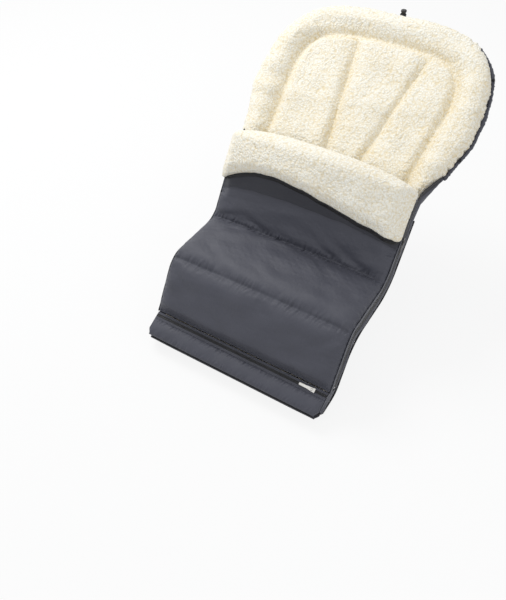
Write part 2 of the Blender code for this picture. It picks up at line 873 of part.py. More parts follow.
def flare_rings(side, x_out, thick, top, low):
    """The start of a strip that runs up the gusset's flare to the head panel."""
    rings = []
    for upper, lower in gusset_pairs()[1:len(FLARE)]:
        way = (lower - upper).normalized()
        ring = []
        for x, h in ((x_out, top), (x_out + thick, top), (x_out + thick, low), (x_out, low)):
            point = upper + way * (h - GUSSET_TOP)
            ring.append(Vector((side * (upper.x + GUSSET + x), point.y, point.z)))
        rings.append(ring)
    return rings


def side_strip(name, side, start, end, x_in, thick, top, low, made_of, before=()):
    """A flat strip in the side plane that follows the side line."""
    sections = list(before)
    for s in strip_rows(start, end):
        ring = []
        for x, h in ((x_in, top), (x_in + thick, top), (x_in + thick, low), (x_in, low)):
            ring.append(spot(COVER_PATH, side * x, s, -h))
        sections.append(ring)
    return loft(name, sections, made_of, False)


def build_side_zip(word, side):
    cover_end = COVER_MARKS[-1] - HINGE_CLEAR
    back_end = COVER_MARKS[-1] - 0.0060
    tape_flare = flare_rings(side, GAP, TAPE, BACK_TAPE_TOP, BACK_TAPE_LOW)
    chain_out = GAP + TAPE / 2 - CHAIN / 2
    chain_flare = flare_rings(side, chain_out, CHAIN, BACK_CHAIN_TOP, BACK_CHAIN_TOP + CHAIN_WIDTH)
    cover_top = COVER_CHAIN_LOW - CHAIN_WIDTH
    back_low = BACK_CHAIN_TOP + CHAIN_WIDTH
    tape, chain = (TAPE_IN, TAPE), (CHAIN_IN, CHAIN)
    return [
        side_strip("cover_zip_tape_" + word, side, 0.004, cover_end, *tape, COVER_TAPE_TOP, COVER_TAPE_LOW,
                   black_tape()),
        side_strip("back_zip_tape_" + word, side, FLARE_FOOT, back_end, *tape, BACK_TAPE_TOP, BACK_TAPE_LOW,
                   black_tape(), tape_flare),
        side_strip("cover_zip_chain_" + word, side, 0.008, cover_end, *chain, cover_top, COVER_CHAIN_LOW,
                   black_plastic()),
        side_strip("back_zip_chain_" + word, side, FLARE_FOOT, back_end - STOP_LENGTH, *chain, BACK_CHAIN_TOP, back_low,
                   black_plastic(), chain_flare),
        side_strip("zip_end_stop_" + word, side, back_end - STOP_LENGTH + GAP, back_end, *chain, BACK_CHAIN_TOP,
                   back_low, nickel()),
    ]


def gusset_pairs():
    """Top and bottom points of the gusset, as (length on its own path, path, height, x)."""
    pairs = []
    fold_top = spot(COVER_PATH, 0, 0.0, -GUSSET_TOP)
    run_top = spot(BACK_PATH, 0, HEAD_ZERO - GUSSET_RUNOUT, -0.001)
    x_in = BACK_HALF + GAP
    for f in FLARE + (1.0,):
        s = HEAD_ZERO - GUSSET_RUNOUT * (1 - f)
        top = run_top.lerp(fold_top, f)
        top.x = back_half(s) + GAP + 0.0008
        pairs.append((top, spot(BACK_PATH, top.x, s, -GUSSET_LAP)))
    for s, b in matched(COVER_PATH, BACK_PATH[2:7], (2, 5, 1, 5, 1)):
        b += BACK_MARKS[2]
        s = max(s, FLARE_FOOT)
        pairs.append((spot(COVER_PATH, x_in, s, -GUSSET_TOP), spot(BACK_PATH, x_in, b, -GUSSET_LAP)))
    ends = (BACK_MARKS[7], BACK_END - 0.014)
    for f in (0.04, 0.25, 0.5, 0.75, 1.0):
        top = spot(TOE_PATH, x_in, f * (TOE - 0.012), -0.002)
        pairs.append((top, spot(BACK_PATH, x_in, ends[0] + (ends[1] - ends[0]) * f, -GUSSET_LAP)))
    return pairs


def build_gusset(word, side):
    sections = []
    for top, low in gusset_pairs():
        out = Vector((GUSSET, 0, 0))
        ring = [top, top + out, low + out, low]
        sections.append([Vector((side * p.x, p.y, p.z)) for p in ring])
    return [loft("side_gusset_" + word, sections, shell_cloth(), False)]


def build_side_piping(word, side):
    x = side * (COVER_HALF + GAP + PIPING)
    rows = []
    for i, steps in ((2, 1), (3, 5), (4, 1), (5, 5), (6, 1), (7, 3)):
        rows += shares(BACK_MARKS[i], BACK_MARKS[i + 1], steps)
    rows += [BACK_MARKS[8], BACK_END - 0.016]
    return [tube("side_piping_" + word, [spot(BACK_PATH, x, s, -GUSSET_LAP + PIPING) for s in rows], PIPING, 6,
                 black_tape())]


# Sliders and pulls, built in a frame of three directions: along the zip, across it and out of the cloth


def placed(at, frame, point):
    way, across, out = frame
    return at + way * point[0] + across * point[1] + out * point[2]


def local_box(name, at, frame, low, high, made_of):
    corners = []
    for x in (low[0], high[0]):
        for y, z in ((low[1], low[2]), (high[1], low[2]), (high[1], high[2]), (low[1], high[2])):
            corners.append(placed(at, frame, (x, y, z)))
    return block(name, corners, made_of)


def join_solids(main, others):
    """Unites a part with helper solids that pass a little way into it."""
    for other in others:
        other.hide_render = True
        other.display_type = "WIRE"
        modifier = main.modifiers.new("with_" + other.name, "BOOLEAN")
        modifier.operation = "UNION"
        modifier.object = other
    return main


PLATE_LOW = CHAIN / 2 + SLIDER_CLEAR
PLATE_TOP = PLATE_LOW + SLIDER_PLATE
PULL_AXIS = PLATE_TOP + BRIDGE_TALL / 2
INTO = 0.0003


def build_slider(name, at, frame):
    """Two plates over the chain, a thin post between its halves and a bridge for the pull."""
    long = SLIDER_LENGTH / 2
    wide = CHAIN_GAP / 2 + CHAIN_WIDTH + SLIDER_LIP
    body = local_box(name, at, frame, (-long, -wide, PLATE_LOW), (long, wide, PLATE_TOP), nickel())
    helpers = [
        local_box(name + "_under", at, frame, (-long, -wide, -PLATE_TOP), (long, wide, -PLATE_LOW), nickel()),
        local_box(name + "_post", at, frame, (-long + 0.001, -POST / 2, -PLATE_LOW - INTO),
                  (-long + 0.004, POST / 2, PLATE_LOW + INTO), nickel()),
    ]
    reach = BRIDGE_LENGTH / 2
    top = PLATE_TOP + BRIDGE_TALL
    for word, low, high in (("_heel", -reach, -reach + BRIDGE_BAR), ("_toe", reach - BRIDGE_BAR, reach)):
        helpers.append(local_box(name + word, at, frame, (low, -BRIDGE_HALF, PLATE_TOP - INTO),
                                 (high, BRIDGE_HALF, top + INTO), nickel()))
    helpers.append(local_box(name + "_bar", at, frame, (-reach - INTO, -BRIDGE_HALF - INTO, top),
                             (reach + INTO, BRIDGE_HALF + INTO, top + BRIDGE_BAR), nickel()))
    join_solids(body, [helpers[1], helpers[0]] + helpers[2:])
    return set_origin(body, at)


def build_pull(name, at, frame):
    """A flat tab with a window; its end bar turns under the slider's bridge."""
    half, axis = PULL / 2, PULL_AXIS
    outer = (-half, PULL_LENGTH)
    bm = bmesh.new()
    outline = [(outer[0], -PULL_HALF), (outer[1] - 0.002, -PULL_HALF), (outer[1], -PULL_HALF + 0.002),
               (outer[1], PULL_HALF - 0.002), (outer[1] - 0.002, PULL_HALF), (outer[0], PULL_HALF)]
    inner = [(half, -PULL_HALF + PULL_RAIL), (PULL_WINDOW, -PULL_HALF + PULL_RAIL),
             (PULL_WINDOW, PULL_HALF - PULL_RAIL), (half, PULL_HALF - PULL_RAIL)]
    layers = []
    for z in (axis - half, axis + half):
        layers.append((
            [bm.verts.new(placed(at, frame, (x, y, z))) for x, y in outline],
            [bm.verts.new(placed(at, frame, (x, y, z))) for x, y in inner],
        ))
    (low_out, low_in), (high_out, high_in) = layers
    for a, b in ((low_out, high_out), (low_in, high_in)):
        for i in range(len(a)):
            j = (i + 1) % len(a)
            bm.faces.new((a[i], a[j], b[j], b[i]))
    for out, into in (layers[0], layers[1]):
        bm.faces.new((out[0], out[1], into[1], into[0]))
        bm.faces.new((out[1], out[2], out[3], out[4], into[2], into[1]))
        bm.faces.new((out[4], out[5], into[3], into[2]))
        bm.faces.new((out[5], out[0], into[0], into[3]))
    part = finish(name, bm, nickel(), False)
    return set_origin(part, placed(at, frame, (0, 0, axis)))


def torso_frame(side):
    way, up = TORSO_WAY, outward(TORSO_WAY)
    return (Vector((0, way.x, way.y)), Vector((0, up.x, up.y)), Vector((side, 0, 0)))


def build_side_slider(word, side):
    at = spot(COVER_PATH, side * CHAIN_MIDDLE, SIDE_SLIDER_DOWN, -ZIP_DROP)
    frame = torso_frame(side)
    return [build_slider("side_slider_" + word, at, frame), build_pull("side_pull_" + word, at, frame)]


# Toe: padded panel, and the foot zip across it just below the hinge line


FOOT_UPPER = (2 * HINGE_CLEAR, 2 * HINGE_CLEAR + FOOT_TAPE)
FOOT_CHAIN_UP = (FOOT_UPPER[1] + GAP, FOOT_UPPER[1] + GAP + CHAIN_WIDTH)
FOOT_CHAIN_LOW = (FOOT_CHAIN_UP[1] + CHAIN_GAP, FOOT_CHAIN_UP[1] + CHAIN_GAP + CHAIN_WIDTH)
FOOT_LOWER = (FOOT_CHAIN_LOW[1] + GAP, FOOT_CHAIN_LOW[1] + GAP + FOOT_TAPE)
TOE_PAD_START = FOOT_LOWER[1] + GAP
FOOT_LEVEL = -0.0010


def toe_grid(h_edge, h_middle, risen, start=TOE_PAD_START):
    grid = []
    rows = [start + (TOE - start) * f for f in (0, 0.12, 0.35, 0.65, 0.88, 1)]
    for s in rows:
        t = (s - start) / (TOE - start)
        dome = 1 - abs(2 * t - 1) ** 4
        row = []
        for u in COARSE:
            full = fullness(u) * smooth((TOE - s) / 0.035)
            half = BACK_HALF - 0.006 * smooth((s - TOE + 0.012) / 0.012)
            h = h_edge + (h_middle - h_edge) * full + risen * TOE_RISE * dome * fullness(u)
            row.append(spot(TOE_PATH, u * half, s, h))
        grid.append(row)
    return grid


def build_toe():
    edge = -SHELL - GAP
    low_edge = edge - 0.0015
    low = edge - 0.008
    lining_edge = low_edge - GAP
    lining = low - GAP
    return [
        pad("toe_shell", toe_grid(0, 0, 1), toe_grid(-SHELL, -SHELL, 1), shell_cloth()),
        pad("toe_wadding", toe_grid(edge, edge, 1), toe_grid(low_edge, low, 0), wadding()),
        pad("toe_lining", toe_grid(lining_edge, lining, 0), toe_grid(lining_edge - 0.0020, lining - 0.0050, 0),
            fleece()),
    ]


def foot_strip(name, span, thick, made_of):
    half = BACK_HALF
    corners = []
    for x in (-half, half):
        for s, h in ((span[0], FOOT_LEVEL - thick / 2), (span[1], FOOT_LEVEL - thick / 2),
                     (span[1], FOOT_LEVEL + thick / 2), (span[0], FOOT_LEVEL + thick / 2)):
            corners.append(spot(TOE_PATH, x, s, h))
    return block(name, corners, made_of)


def build_foot_zip():
    parts = [
        foot_strip("foot_zip_tape_upper", FOOT_UPPER, TAPE, black_tape()),
        foot_strip("foot_zip_chain_upper", FOOT_CHAIN_UP, CHAIN, black_plastic()),
        foot_strip("foot_zip_chain_lower", FOOT_CHAIN_LOW, CHAIN, black_plastic()),
        foot_strip("foot_zip_tape_lower", FOOT_LOWER, TAPE, black_tape()),
    ]
    middle = (FOOT_CHAIN_UP[1] + FOOT_CHAIN_LOW[0]) / 2
    at = spot(TOE_PATH, FOOT_SLIDER_X, middle, FOOT_LEVEL)
    up = outward(TOE_WAY)
    frame = (Vector((-1, 0, 0)), Vector((0, TOE_WAY.x, TOE_WAY.y)), Vector((0, up.x, up.y)))
    return parts + [build_slider("foot_slider", at, frame), build_pull("foot_pull", at, frame)]


def build_toe_piping():
    end, way = along(TOE_PATH, TOE)
    centre = end + way * (GAP + TOE_PIPING) - outward(way) * TOE_DEPTH
    half = BACK_HALF - 0.010
    points = [Vector((half * k, centre.x, centre.y)) for k in (-1, -0.5, 0, 0.5, 1)]
    return [tube("toe_piping", points, TOE_PIPING, 8, black_tape())]


# Drawcord round the head panel, in a casing on its edge, and the cord lock at the top


def head_outline():
    """The head panel's edge as (x, height above the fold), from its left foot round the top to its right foot."""
    side = []
    for s in BACK_ROWS:
        q = HEAD_ZERO - s
        if q >= GUSSET_RUNOUT + 0.006:
            side.append((back_half(s), q))
    left = [(-x, q) for x, q in reversed(side)]
    return left + side


def offset_outline(points, by):
    """The outline moved outwards by a distance, with mitred corners."""
    moved = []
    for i, (x, q) in enumerate(points):
        before = points[max(i - 1, 0)]
        after = points[min(i + 1, len(points) - 1)]
        a = Vector((x - before[0], q - before[1])) if i > 0 else Vector((after[0] - x, after[1] - q))
        b = Vector((after[0] - x, after[1] - q)) if i < len(points) - 1 else a
        na = Vector((-a.y, a.x)).normalized()
        nb = Vector((-b.y, b.x)).normalized()
        miter = (na + nb) / (1 + na.dot(nb))
        moved.append((x + miter.x * by, q + miter.y * by))
    return moved


def head_spot(point, h):
    return spot(BACK_PATH, point[0], HEAD_ZERO - point[1], h)


CORD_OUT = 0.0006 + CORD
CORD_LEVEL = -BACK_EDGE_THICK / 2


def lock_place():
    """Where the cord lock stands: clear of the head panel's top edge."""
    edge = head_spot((0.0, HEAD_ZERO - HEAD_ROW), -BACK_EDGE_THICK)
    cord = head_spot((0.0, HEAD_ZERO - HEAD_ROW + CORD_OUT), CORD_LEVEL)
    return Vector((0.0, edge.y + 0.0006 + LOCK_RADIUS, cord.z))


def build_casing():
    """A narrow U of tape on each side of the head, open towards the panel's edge."""
    outline = head_outline()
    middle = len(outline) // 2
    top = (outline[middle - 1], outline[middle])
    left = outline[:middle] + [(-WINDOW, top[0][1])]
    right = [(WINDOW, top[1][1])] + outline[middle:]
    low, high = -BACK_EDGE_THICK, 0.0
    wall, reach = CASING_WALL, CASING_REACH
    profile = ((GAP, high), (reach, high), (reach, low), (GAP, low), (GAP, low + wall), (reach - wall, low + wall),
               (reach - wall, high - wall), (GAP, high - wall))
    made = []
    for name, points in (("cord_casing_left", left), ("cord_casing_right", right)):
        rows = [offset_outline(points, out) for out, _ in profile]
        sections = []
        for i in range(len(points)):
            sections.append([head_spot(rows[k][i], profile[k][1]) for k in range(len(profile))])
        made.append(loft(name, sections, black_tape(), False))
    return made


def build_drawcord():
    """One cord from foot to foot of the head panel, which bows out of its casing through the lock."""
    outline = head_outline()
    points = [head_spot(p, CORD_LEVEL) for p in offset_outline(outline, CORD_OUT)]
    middle = len(points) // 2
    lock = lock_place()
    start, end = points[middle - 1], points[middle]
    bow = []
    straight = LOCK_RADIUS + 0.0008
    for x in (-WINDOW - 0.002, -WINDOW, -0.0118, -straight, 0.0, straight, 0.0118, WINDOW, WINDOW + 0.002):
        out = smooth((WINDOW - abs(x)) / (WINDOW - straight))
        flat = Vector((x, start.y, start.z))
        bow.append(flat.lerp(Vector((x, lock.y, lock.z)), out))
    centres = points[: middle] + bow + points[middle:]
    sections = []
    normal = outward(HEAD_WAY)
    up = Vector((0, normal.x, normal.y))
    for i, centre in enumerate(centres):
        way = (centres[min(i + 1, len(centres) - 1)] - centres[max(i - 1, 0)]).normalized()
        side = up.cross(way).normalized()
        rise = way.cross(side).normalized()
        turns = [2 * math.pi * (k + 0.5) / 6 for k in range(6)]
        sections.append([centre + side * math.cos(a) * CORD + rise * math.sin(a) * CORD for a in turns])
    return [loft("drawcord", sections, black_tape())]


def build_cord_lock():
    lock = lock_place()
    at = (lock.x, lock.y)
    top, foot = lock.z + LOCK_RISE, lock.z - LOCK_DROP
    hole = CORD + 0.0005
    barrel = cylinder("cord_lock_barrel", LOCK_RADIUS, foot, top, at, 16, black_plastic())
    bore = cylinder("cut_lock_bore", LOCK_BORE, foot + 0.0015, top + 0.002, at, 16, black_plastic())
    cut(barrel, bore)
    side_hole = tube("cut_lock_hole", [Vector((x, lock.y, lock.z)) for x in (-0.012, 0.0, 0.012)], hole, 10,
                     black_plastic())
    cut(barrel, side_hole)
    plunger_low = lock.z - CORD - GAP - 0.0016
    button_low = top + BUTTON_TRAVEL + 0.0005
    plunger = cylinder("cord_lock_button", LOCK_BORE - 0.0004, plunger_low, button_low + 0.001, at, 16,
                       black_plastic())
    head = cylinder("cord_lock_button_head", LOCK_RADIUS - 0.0006, button_low, button_low + BUTTON_HEAD, at, 16,
                    black_plastic())
    join_solids(plunger, [head])
    low, high = lock.z - CORD - GAP, lock.z + CORD + GAP + BUTTON_TRAVEL + 0.0002
    half = CORD + 0.0004
    corners = []
    for x in (-0.012, 0.012):
        corners += [Vector((x, lock.y - half, low)), Vector((x, lock.y + half, low)),
                    Vector((x, lock.y + half, high)), Vector((x, lock.y - half, high))]
    cut(plunger, block("cut_button_slot", corners, black_plastic()))
    set_origin(plunger, Vector((lock.x, lock.y, plunger_low)))
    floor = foot + 0.0015
    return [barrel, plunger, build_spring(at, floor + GAP, plunger_low - GAP)]


def build_spring(at, low, high):
    """A small coil spring between the barrel's floor and the plunger."""
    wire, radius, turns, steps = 0.0003, 0.0036, 4, 8
    centres = []
    for k in range(turns * steps + 1):
        a = 2 * math.pi * k / steps
        z = low + wire + (high - low - 2 * wire) * k / (turns * steps)
        centres.append(Vector((at[0] + radius * math.cos(a), at[1] + radius * math.sin(a), z)))
    sections = []
    for i, centre in enumerate(centres):
        a = 2 * math.pi * i / steps
        side = Vector((math.cos(a), math.sin(a), 0))
        up = Vector((0, 0, 1))
        sections.append([centre + side * math.cos(b) * wire + up * math.sin(b) * wire
                         for b in (math.pi / 4, 3 * math.pi / 4, 5 * math.pi / 4, 7 * math.pi / 4)])
    return loft("cord_lock_spring", sections, nickel())


back_layers = build_back()
build_slots(back_layers)
build_cover()
build_fold_roll()
build_cuff()
for word, side in SIDES:
    build_side_zip(word, side)
    build_gusset(word, side)
    build_side_piping(word, side)
    build_side_slider(word, side)
build_toe()
build_foot_zip()
build_toe_piping()
build_casing()
build_drawcord()
build_cord_lock()
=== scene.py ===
# %% [markdown]
# # A winter footmuff, dressed over its frame
#
# A footmuff is a padded bag that lies in a pushchair's seat. It has a fleece-lined back with a broad head
# panel, a quilted front cover that closes with a zip on each side, and a cuff that is turned down.
# The frame that is loaded here holds every piece at its real place and size, as plain solids.
# Each step below makes one soft or small piece properly, and says which plain solid it stands for.

# %% Load the frame
import cmath
import math

import bpy
import numpy as np
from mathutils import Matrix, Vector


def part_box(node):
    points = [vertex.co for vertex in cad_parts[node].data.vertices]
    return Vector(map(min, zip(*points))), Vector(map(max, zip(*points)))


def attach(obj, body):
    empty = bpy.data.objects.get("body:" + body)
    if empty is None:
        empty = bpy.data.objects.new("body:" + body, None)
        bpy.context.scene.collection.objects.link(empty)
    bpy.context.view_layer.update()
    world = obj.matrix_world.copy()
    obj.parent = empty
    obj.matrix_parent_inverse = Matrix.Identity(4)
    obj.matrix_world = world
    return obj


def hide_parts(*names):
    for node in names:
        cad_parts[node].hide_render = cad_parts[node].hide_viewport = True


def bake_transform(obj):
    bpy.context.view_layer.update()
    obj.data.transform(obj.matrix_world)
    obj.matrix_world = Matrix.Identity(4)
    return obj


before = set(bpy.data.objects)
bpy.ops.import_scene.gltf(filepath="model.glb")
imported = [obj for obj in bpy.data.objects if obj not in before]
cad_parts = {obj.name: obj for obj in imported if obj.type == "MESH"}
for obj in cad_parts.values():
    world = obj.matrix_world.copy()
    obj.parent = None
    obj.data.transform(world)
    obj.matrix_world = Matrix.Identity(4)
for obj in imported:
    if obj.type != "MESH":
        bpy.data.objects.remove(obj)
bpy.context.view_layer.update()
scene = bpy.context.scene
scene.view_settings.view_transform = "Standard"

# %% [markdown]
# The camera comes first, so that every later piece can be compared with the photograph.
# It looks down from the foot's right-hand side. The lens is given by how many picture widths away
# something as wide as itself looks, which fixes the view however large the picture is made.

# %% Camera
EYE = (0.457, -0.831, 0.961)
LOOK_AT = (0.0085, -0.109, 0.090)
PICTURE_WIDTH, LENS_PIXELS, SENSOR = 506, 628, 36


def aim_at(thing, place, target):
    """Turns a camera or lamp that stands at a place towards a target."""
    look = thing.location.copy()
    look.x, look.y, look.z = (b - a for a, b in zip(place, target))
    thing.rotation_euler = look.to_track_quat("-Z", "Y").to_euler()


bpy.ops.object.camera_add(location=EYE)
camera = bpy.context.object
camera.name = "camera"
camera.data.sensor_fit = "HORIZONTAL"
camera.data.sensor_width = SENSOR
camera.data.lens = SENSOR * LENS_PIXELS / PICTURE_WIDTH
aim_at(camera, EYE, LOOK_AT)
scene.camera = camera
print("lens", round(camera.data.lens, 1), "mm")

# %% [markdown]
# Seen from the side, the footmuff follows a sitting child: down the back, along the thighs, down the
# shins and out along the toes. Each layer follows that line at its own height. A point in the side
# view is kept as one complex number, y + z*1j, because turning it is then a plain multiplication.

# %% Lines in the side view
TORSO, THIGH, SHIN, TOE = 0.185, 0.152, 0.128, 0.052
HEAD_LENGTH, HEAD_STRAIGHT, HEAD_POWER = 0.376, 0.148, 3.3
BEFORE, BEYOND, ARC_STEPS = 0.2, 0.1, 24


def heading(slope):
    """The way a run goes towards the toe when it falls by slope degrees."""
    return cmath.exp(1j * math.radians(180 + slope))


HEAD_WAY, TORSO_WAY, THIGH_WAY, SHIN_WAY, TOE_WAY = (heading(a) for a in (35, 57, 0, 58, 26))
HEAD_DEPTH, TORSO_DEPTH, THIGH_DEPTH, SHIN_DEPTH, TOE_DEPTH = 0.050, 0.045, 0.040, 0.036, 0.0068
EDGE_THICK, SEAT_SAG, HIP_BACK = 0.0098, 0.035, 0.070
HIP = HIP_BACK + 1j * (THIGH_DEPTH + SEAT_SAG + EDGE_THICK)
FOLD = HIP - TORSO_WAY * TORSO
KNEE = HIP + THIGH_WAY * THIGH
ANKLE = KNEE + SHIN_WAY * SHIN
TOE_END = ANKLE + TOE_WAY * TOE


def side_line(corners, radii):
    """Close points along straight runs joined by arcs: their lengths, their places and the ways they head.

    The line goes on straight past both of its ends, so that cloth can reach a little beyond them."""
    places, ways, at = [], [], corners[0]
    for corner, after, radius in zip(corners[1:-1], corners[2:], radii):
        way = (corner - at) / abs(corner - at)
        turned = (after - corner) / abs(after - corner)
        turn = cmath.phase(turned / way)
        reach = radius * math.tan(abs(turn) / 2)
        bend = corner - way * reach
        centre = bend + way * 1j * math.copysign(radius, turn)
        places.append(at)
        ways.append(way)
        for k in range(ARC_STEPS + 1):
            spin = cmath.exp(1j * turn * k / ARC_STEPS)
            places.append(centre + (bend - centre) * spin)
            ways.append(way * spin)
        at = corner + turned * reach
    last = (corners[-1] - at) / abs(corners[-1] - at)
    places = [corners[0] - ways[0] * BEFORE] + places + [corners[-1], corners[-1] + last * BEYOND]
    ways = [ways[0]] + ways + [last, last]
    places, ways = np.array(places), np.array(ways)
    lengths = np.concatenate([[0], np.cumsum(abs(np.diff(places)))]) - BEFORE
    return lengths, places, ways


def lay(line, x, s, h):
    """Points at x, at lengths s along a line and heights h outward of it, as rows of (x, y, z)."""
    lengths, places, ways = line
    x, s, h = np.broadcast_arrays(x, s, h)
    way = np.interp(s, lengths, ways)
    spot = np.interp(s, lengths, places) - 1j * way / abs(way) * h
    return np.stack([x, spot.real, spot.imag], -1)


def crossing(a, way_a, b, way_b):
    """Where two straight runs meet."""
    step = b - a
    return a + way_a * (step.real * way_b.imag - step.imag * way_b.real) / (way_a.conjugate() * way_b).imag


def back_corners():
    """Where the straight runs of the back's line meet; each lies at its own depth below the cover's line."""
    runs = []
    for point, way, depth in ((FOLD, HEAD_WAY, HEAD_DEPTH), (HIP, TORSO_WAY, TORSO_DEPTH),
                              (HIP, THIGH_WAY, THIGH_DEPTH), (ANKLE, SHIN_WAY, SHIN_DEPTH)):
        runs.append((point + 1j * way * depth, way))
    corners = [runs[0][0] - HEAD_WAY * (HEAD_LENGTH + HEAD_DEPTH)]
    corners += [crossing(*a, *b) for a, b in zip(runs, runs[1:])]
    return corners + [runs[3][0] + SHIN_WAY * 0.3 * SHIN_DEPTH, TOE_END + 1j * TOE_WAY * TOE_DEPTH]


cover_line = side_line([FOLD, HIP, KNEE, ANKLE], [0.050, 0.050])
back_line = side_line(back_corners(), [0.150, 0.080, 0.085, 0.030])
toe_line = side_line([ANKLE, ANKLE + TOE_WAY * TOE * 0.5, TOE_END], [0.0])
COVER_END = cover_line[0][-2]
BACK_END = back_line[0][-2]
HEAD_ZERO = HEAD_LENGTH + HEAD_DEPTH


def bends(line, count):
    """The lengths at which each bend of a side line starts and ends."""
    step = ARC_STEPS + 2
    return [float(line[0][i + step * k]) for k in range(count) for i in (2, step)]


RUN_ENDS = dict(zip(("nape", "torso", "hip", "thigh", "knee", "shin", "heel"), bends(back_line, 4)))
BACK_STOPS = tuple(RUN_ENDS.values())[1:]
COVER_STOPS = (0.0, *bends(cover_line, 2), COVER_END)
QUILT_SEAMS = (0.0, (COVER_STOPS[1] + COVER_STOPS[2]) / 2, (COVER_STOPS[3] + COVER_STOPS[4]) / 2, COVER_END)
print("cover", round(COVER_END, 4), "m, back", round(BACK_END, 4), "m along")

# %% [markdown]
# Padding never ends abruptly, so every height is made from a few soft curves: one that eases from 0 to 1,
# one that rises like a stuffed edge, one hump for a seam, and sums of sine waves for what is uneven.
# The waves come from a numbered draw each, so the footmuff looks the same every time it is made.

# %% Soft curves


def smooth(t):
    """0 to 1 with a soft start and a soft end."""
    t = np.clip(t, 0, 1)
    return t * t * (3 - 2 * t)


def plump(t, roundness=2.2):
    """0 at a sewn edge, rising steeply and then levelling off at 1, as a stuffed edge does."""
    t = np.clip(t, 0, 1)
    return (1 - (1 - t) ** roundness) ** (1 / roundness)


def bump(distance, width):
    """A hump of height 1 that is down to a third one width away."""
    return np.exp(-((distance / width) ** 2))


def waves(a, b, lengths, seed, count=14):
    """Soft unevenness, mostly from -1 to 1, with features from the shortest to the longest of the lengths."""
    chance = np.random.default_rng(seed)
    total = 0
    for _ in range(count):
        size = chance.uniform(*lengths)
        angle, start = chance.uniform(0, 2 * math.pi, 2)
        total = total + np.sin((a * math.cos(angle) + b * math.sin(angle)) * 2 * math.pi / size + start)
    return total / math.sqrt(count) / 1.4


print("a stuffed edge has", round(float(plump(0.1)), 2), "of its height a tenth of the way in")

# %% [markdown]
# Edit mode works on whatever is selected, so each step first says what it wants: nothing, everything, or the
# faces that pass a test. The steps are small functions, and one call runs a list of them on a piece.
# Many points are moved together as an array, because moving them one by one would be slow.

# %% Steps in edit mode


def points_of(piece):
    flat = np.empty(len(piece.data.vertices) * 3)
    piece.data.vertices.foreach_get("co", flat)
    return flat.reshape(-1, 3)


def move_points(piece, places):
    piece.data.vertices.foreach_set("co", np.ascontiguousarray(places, dtype=np.float32).ravel())
    piece.data.update()


def newest(name):
    """The piece that was just added, under its own name."""
    piece = bpy.context.object
    piece.name = piece.data.name = name
    return piece


def pick_only(piece):
    bpy.ops.object.select_all(action="DESELECT")
    bpy.context.view_layer.objects.active = piece
    piece.select_set(True)


def edit(piece, *steps):
    """Runs edit-mode steps on the whole piece, starting with everything selected."""
    pick_only(piece)
    bpy.ops.object.mode_set(mode="EDIT")
    bpy.ops.mesh.select_all(action="SELECT")
    for step in steps:
        step()
    bpy.ops.object.mode_set(mode="OBJECT")


def pick_all():
    bpy.ops.mesh.select_all(action="SELECT")


def pick_none():
    bpy.ops.mesh.select_all(action="DESELECT")


def pick_faces(piece, test):
    """A step that selects only the faces whose centre and normal pass a test."""
    def step():
        pick_none()
        bpy.ops.object.mode_set(mode="OBJECT")
        for face in piece.data.polygons:
            face.select = bool(test(face.center, face.normal))
        bpy.ops.object.mode_set(mode="EDIT")
    return step


def extrude(*way):
    """A step that extrudes what is selected."""
    return lambda: bpy.ops.mesh.extrude_region_move(TRANSFORM_OT_translate={"value": way})


def resize(*size, about=(0, 0, 0)):
    """A step that resizes what is selected about a point."""
    return lambda: bpy.ops.transform.resize(value=size, center_override=about)


def turn_outwards():
    bpy.ops.mesh.normals_make_consistent(inside=False)


def apply_modifiers(piece):
    pick_only(piece)
    for modifier in list(piece.modifiers):
        bpy.ops.object.modifier_apply(modifier=modifier.name)


def cut_away(piece, cutter):
    """Takes the cutter's shape out of a piece by a boolean; the cutter is then done with."""
    hole = piece.modifiers.new("hole", "BOOLEAN")
    hole.operation, hole.object, hole.solver = "DIFFERENCE", cutter, "EXACT"
    apply_modifiers(piece)
    bpy.data.objects.remove(cutter, do_unlink=True)


def add_grid(name, columns, rows):
    bpy.ops.object.select_all(action="DESELECT")
    bpy.ops.mesh.primitive_grid_add(x_subdivisions=columns, y_subdivisions=rows, size=1)
    return newest(name)


def plain_box(name, size, place):
    bpy.ops.object.select_all(action="DESELECT")
    bpy.ops.mesh.primitive_cube_add(size=1, location=place)
    piece = newest(name)
    piece.scale = size
    bpy.ops.object.transform_apply(location=True, rotation=False, scale=True)
    return piece


print("steps ready")

# %% [markdown]
# Cloth is cut flat and then laid on the form, and so is this model. A grid is the flat cut. Extruded
# once in edit mode it becomes a closed quilt with an upper and a lower layer. Its points are then moved
# in one go to where the padding holds them, which keeps rows and columns even and lets a seam be
# placed exactly. The flat cut is also kept as a UV map in metres, so that a weave has its true scale.

# %% Cutting and laying cloth


def cut_pad(name, columns, rows, finer=0):
    """A flat cut one unit wide and long with a second layer one unit above it, joined round the edge.

    Finer is how often each of its edges is cut again. With the piece come the places of all its points
    across (-1 to 1), along (0 to 1) and up (0 to 1)."""
    piece = add_grid(name, columns, rows)
    edit(piece, extrude(0, 0, 1))
    if finer:
        edit(piece, lambda: bpy.ops.mesh.subdivide(number_cuts=finer))
    flat = points_of(piece)
    return piece, flat[:, 0] * 2, flat[:, 1] + 0.5, flat[:, 2]


def keep_flat_cut(piece, across, along):
    """Stores the flat cut in metres as the piece's UV map."""
    corners = np.empty(len(piece.data.loops), dtype=np.int32)
    piece.data.loops.foreach_get("vertex_index", corners)
    cloth = piece.data.uv_layers.active or piece.data.uv_layers.new(name="cloth")
    cloth.name = "cloth"
    cloth.data.foreach_set("uv", np.stack([across, along], -1)[corners].astype(np.float32).ravel())


def lay_down(piece, places, across, along):
    """Moves a flat cut's points to where they lie and keeps the cut itself."""
    move_points(piece, places)
    keep_flat_cut(piece, across, along)
    edit(piece, turn_outwards)


def shade(piece, angle):
    pick_only(piece)
    bpy.ops.object.shade_smooth_by_angle(angle=math.radians(angle))


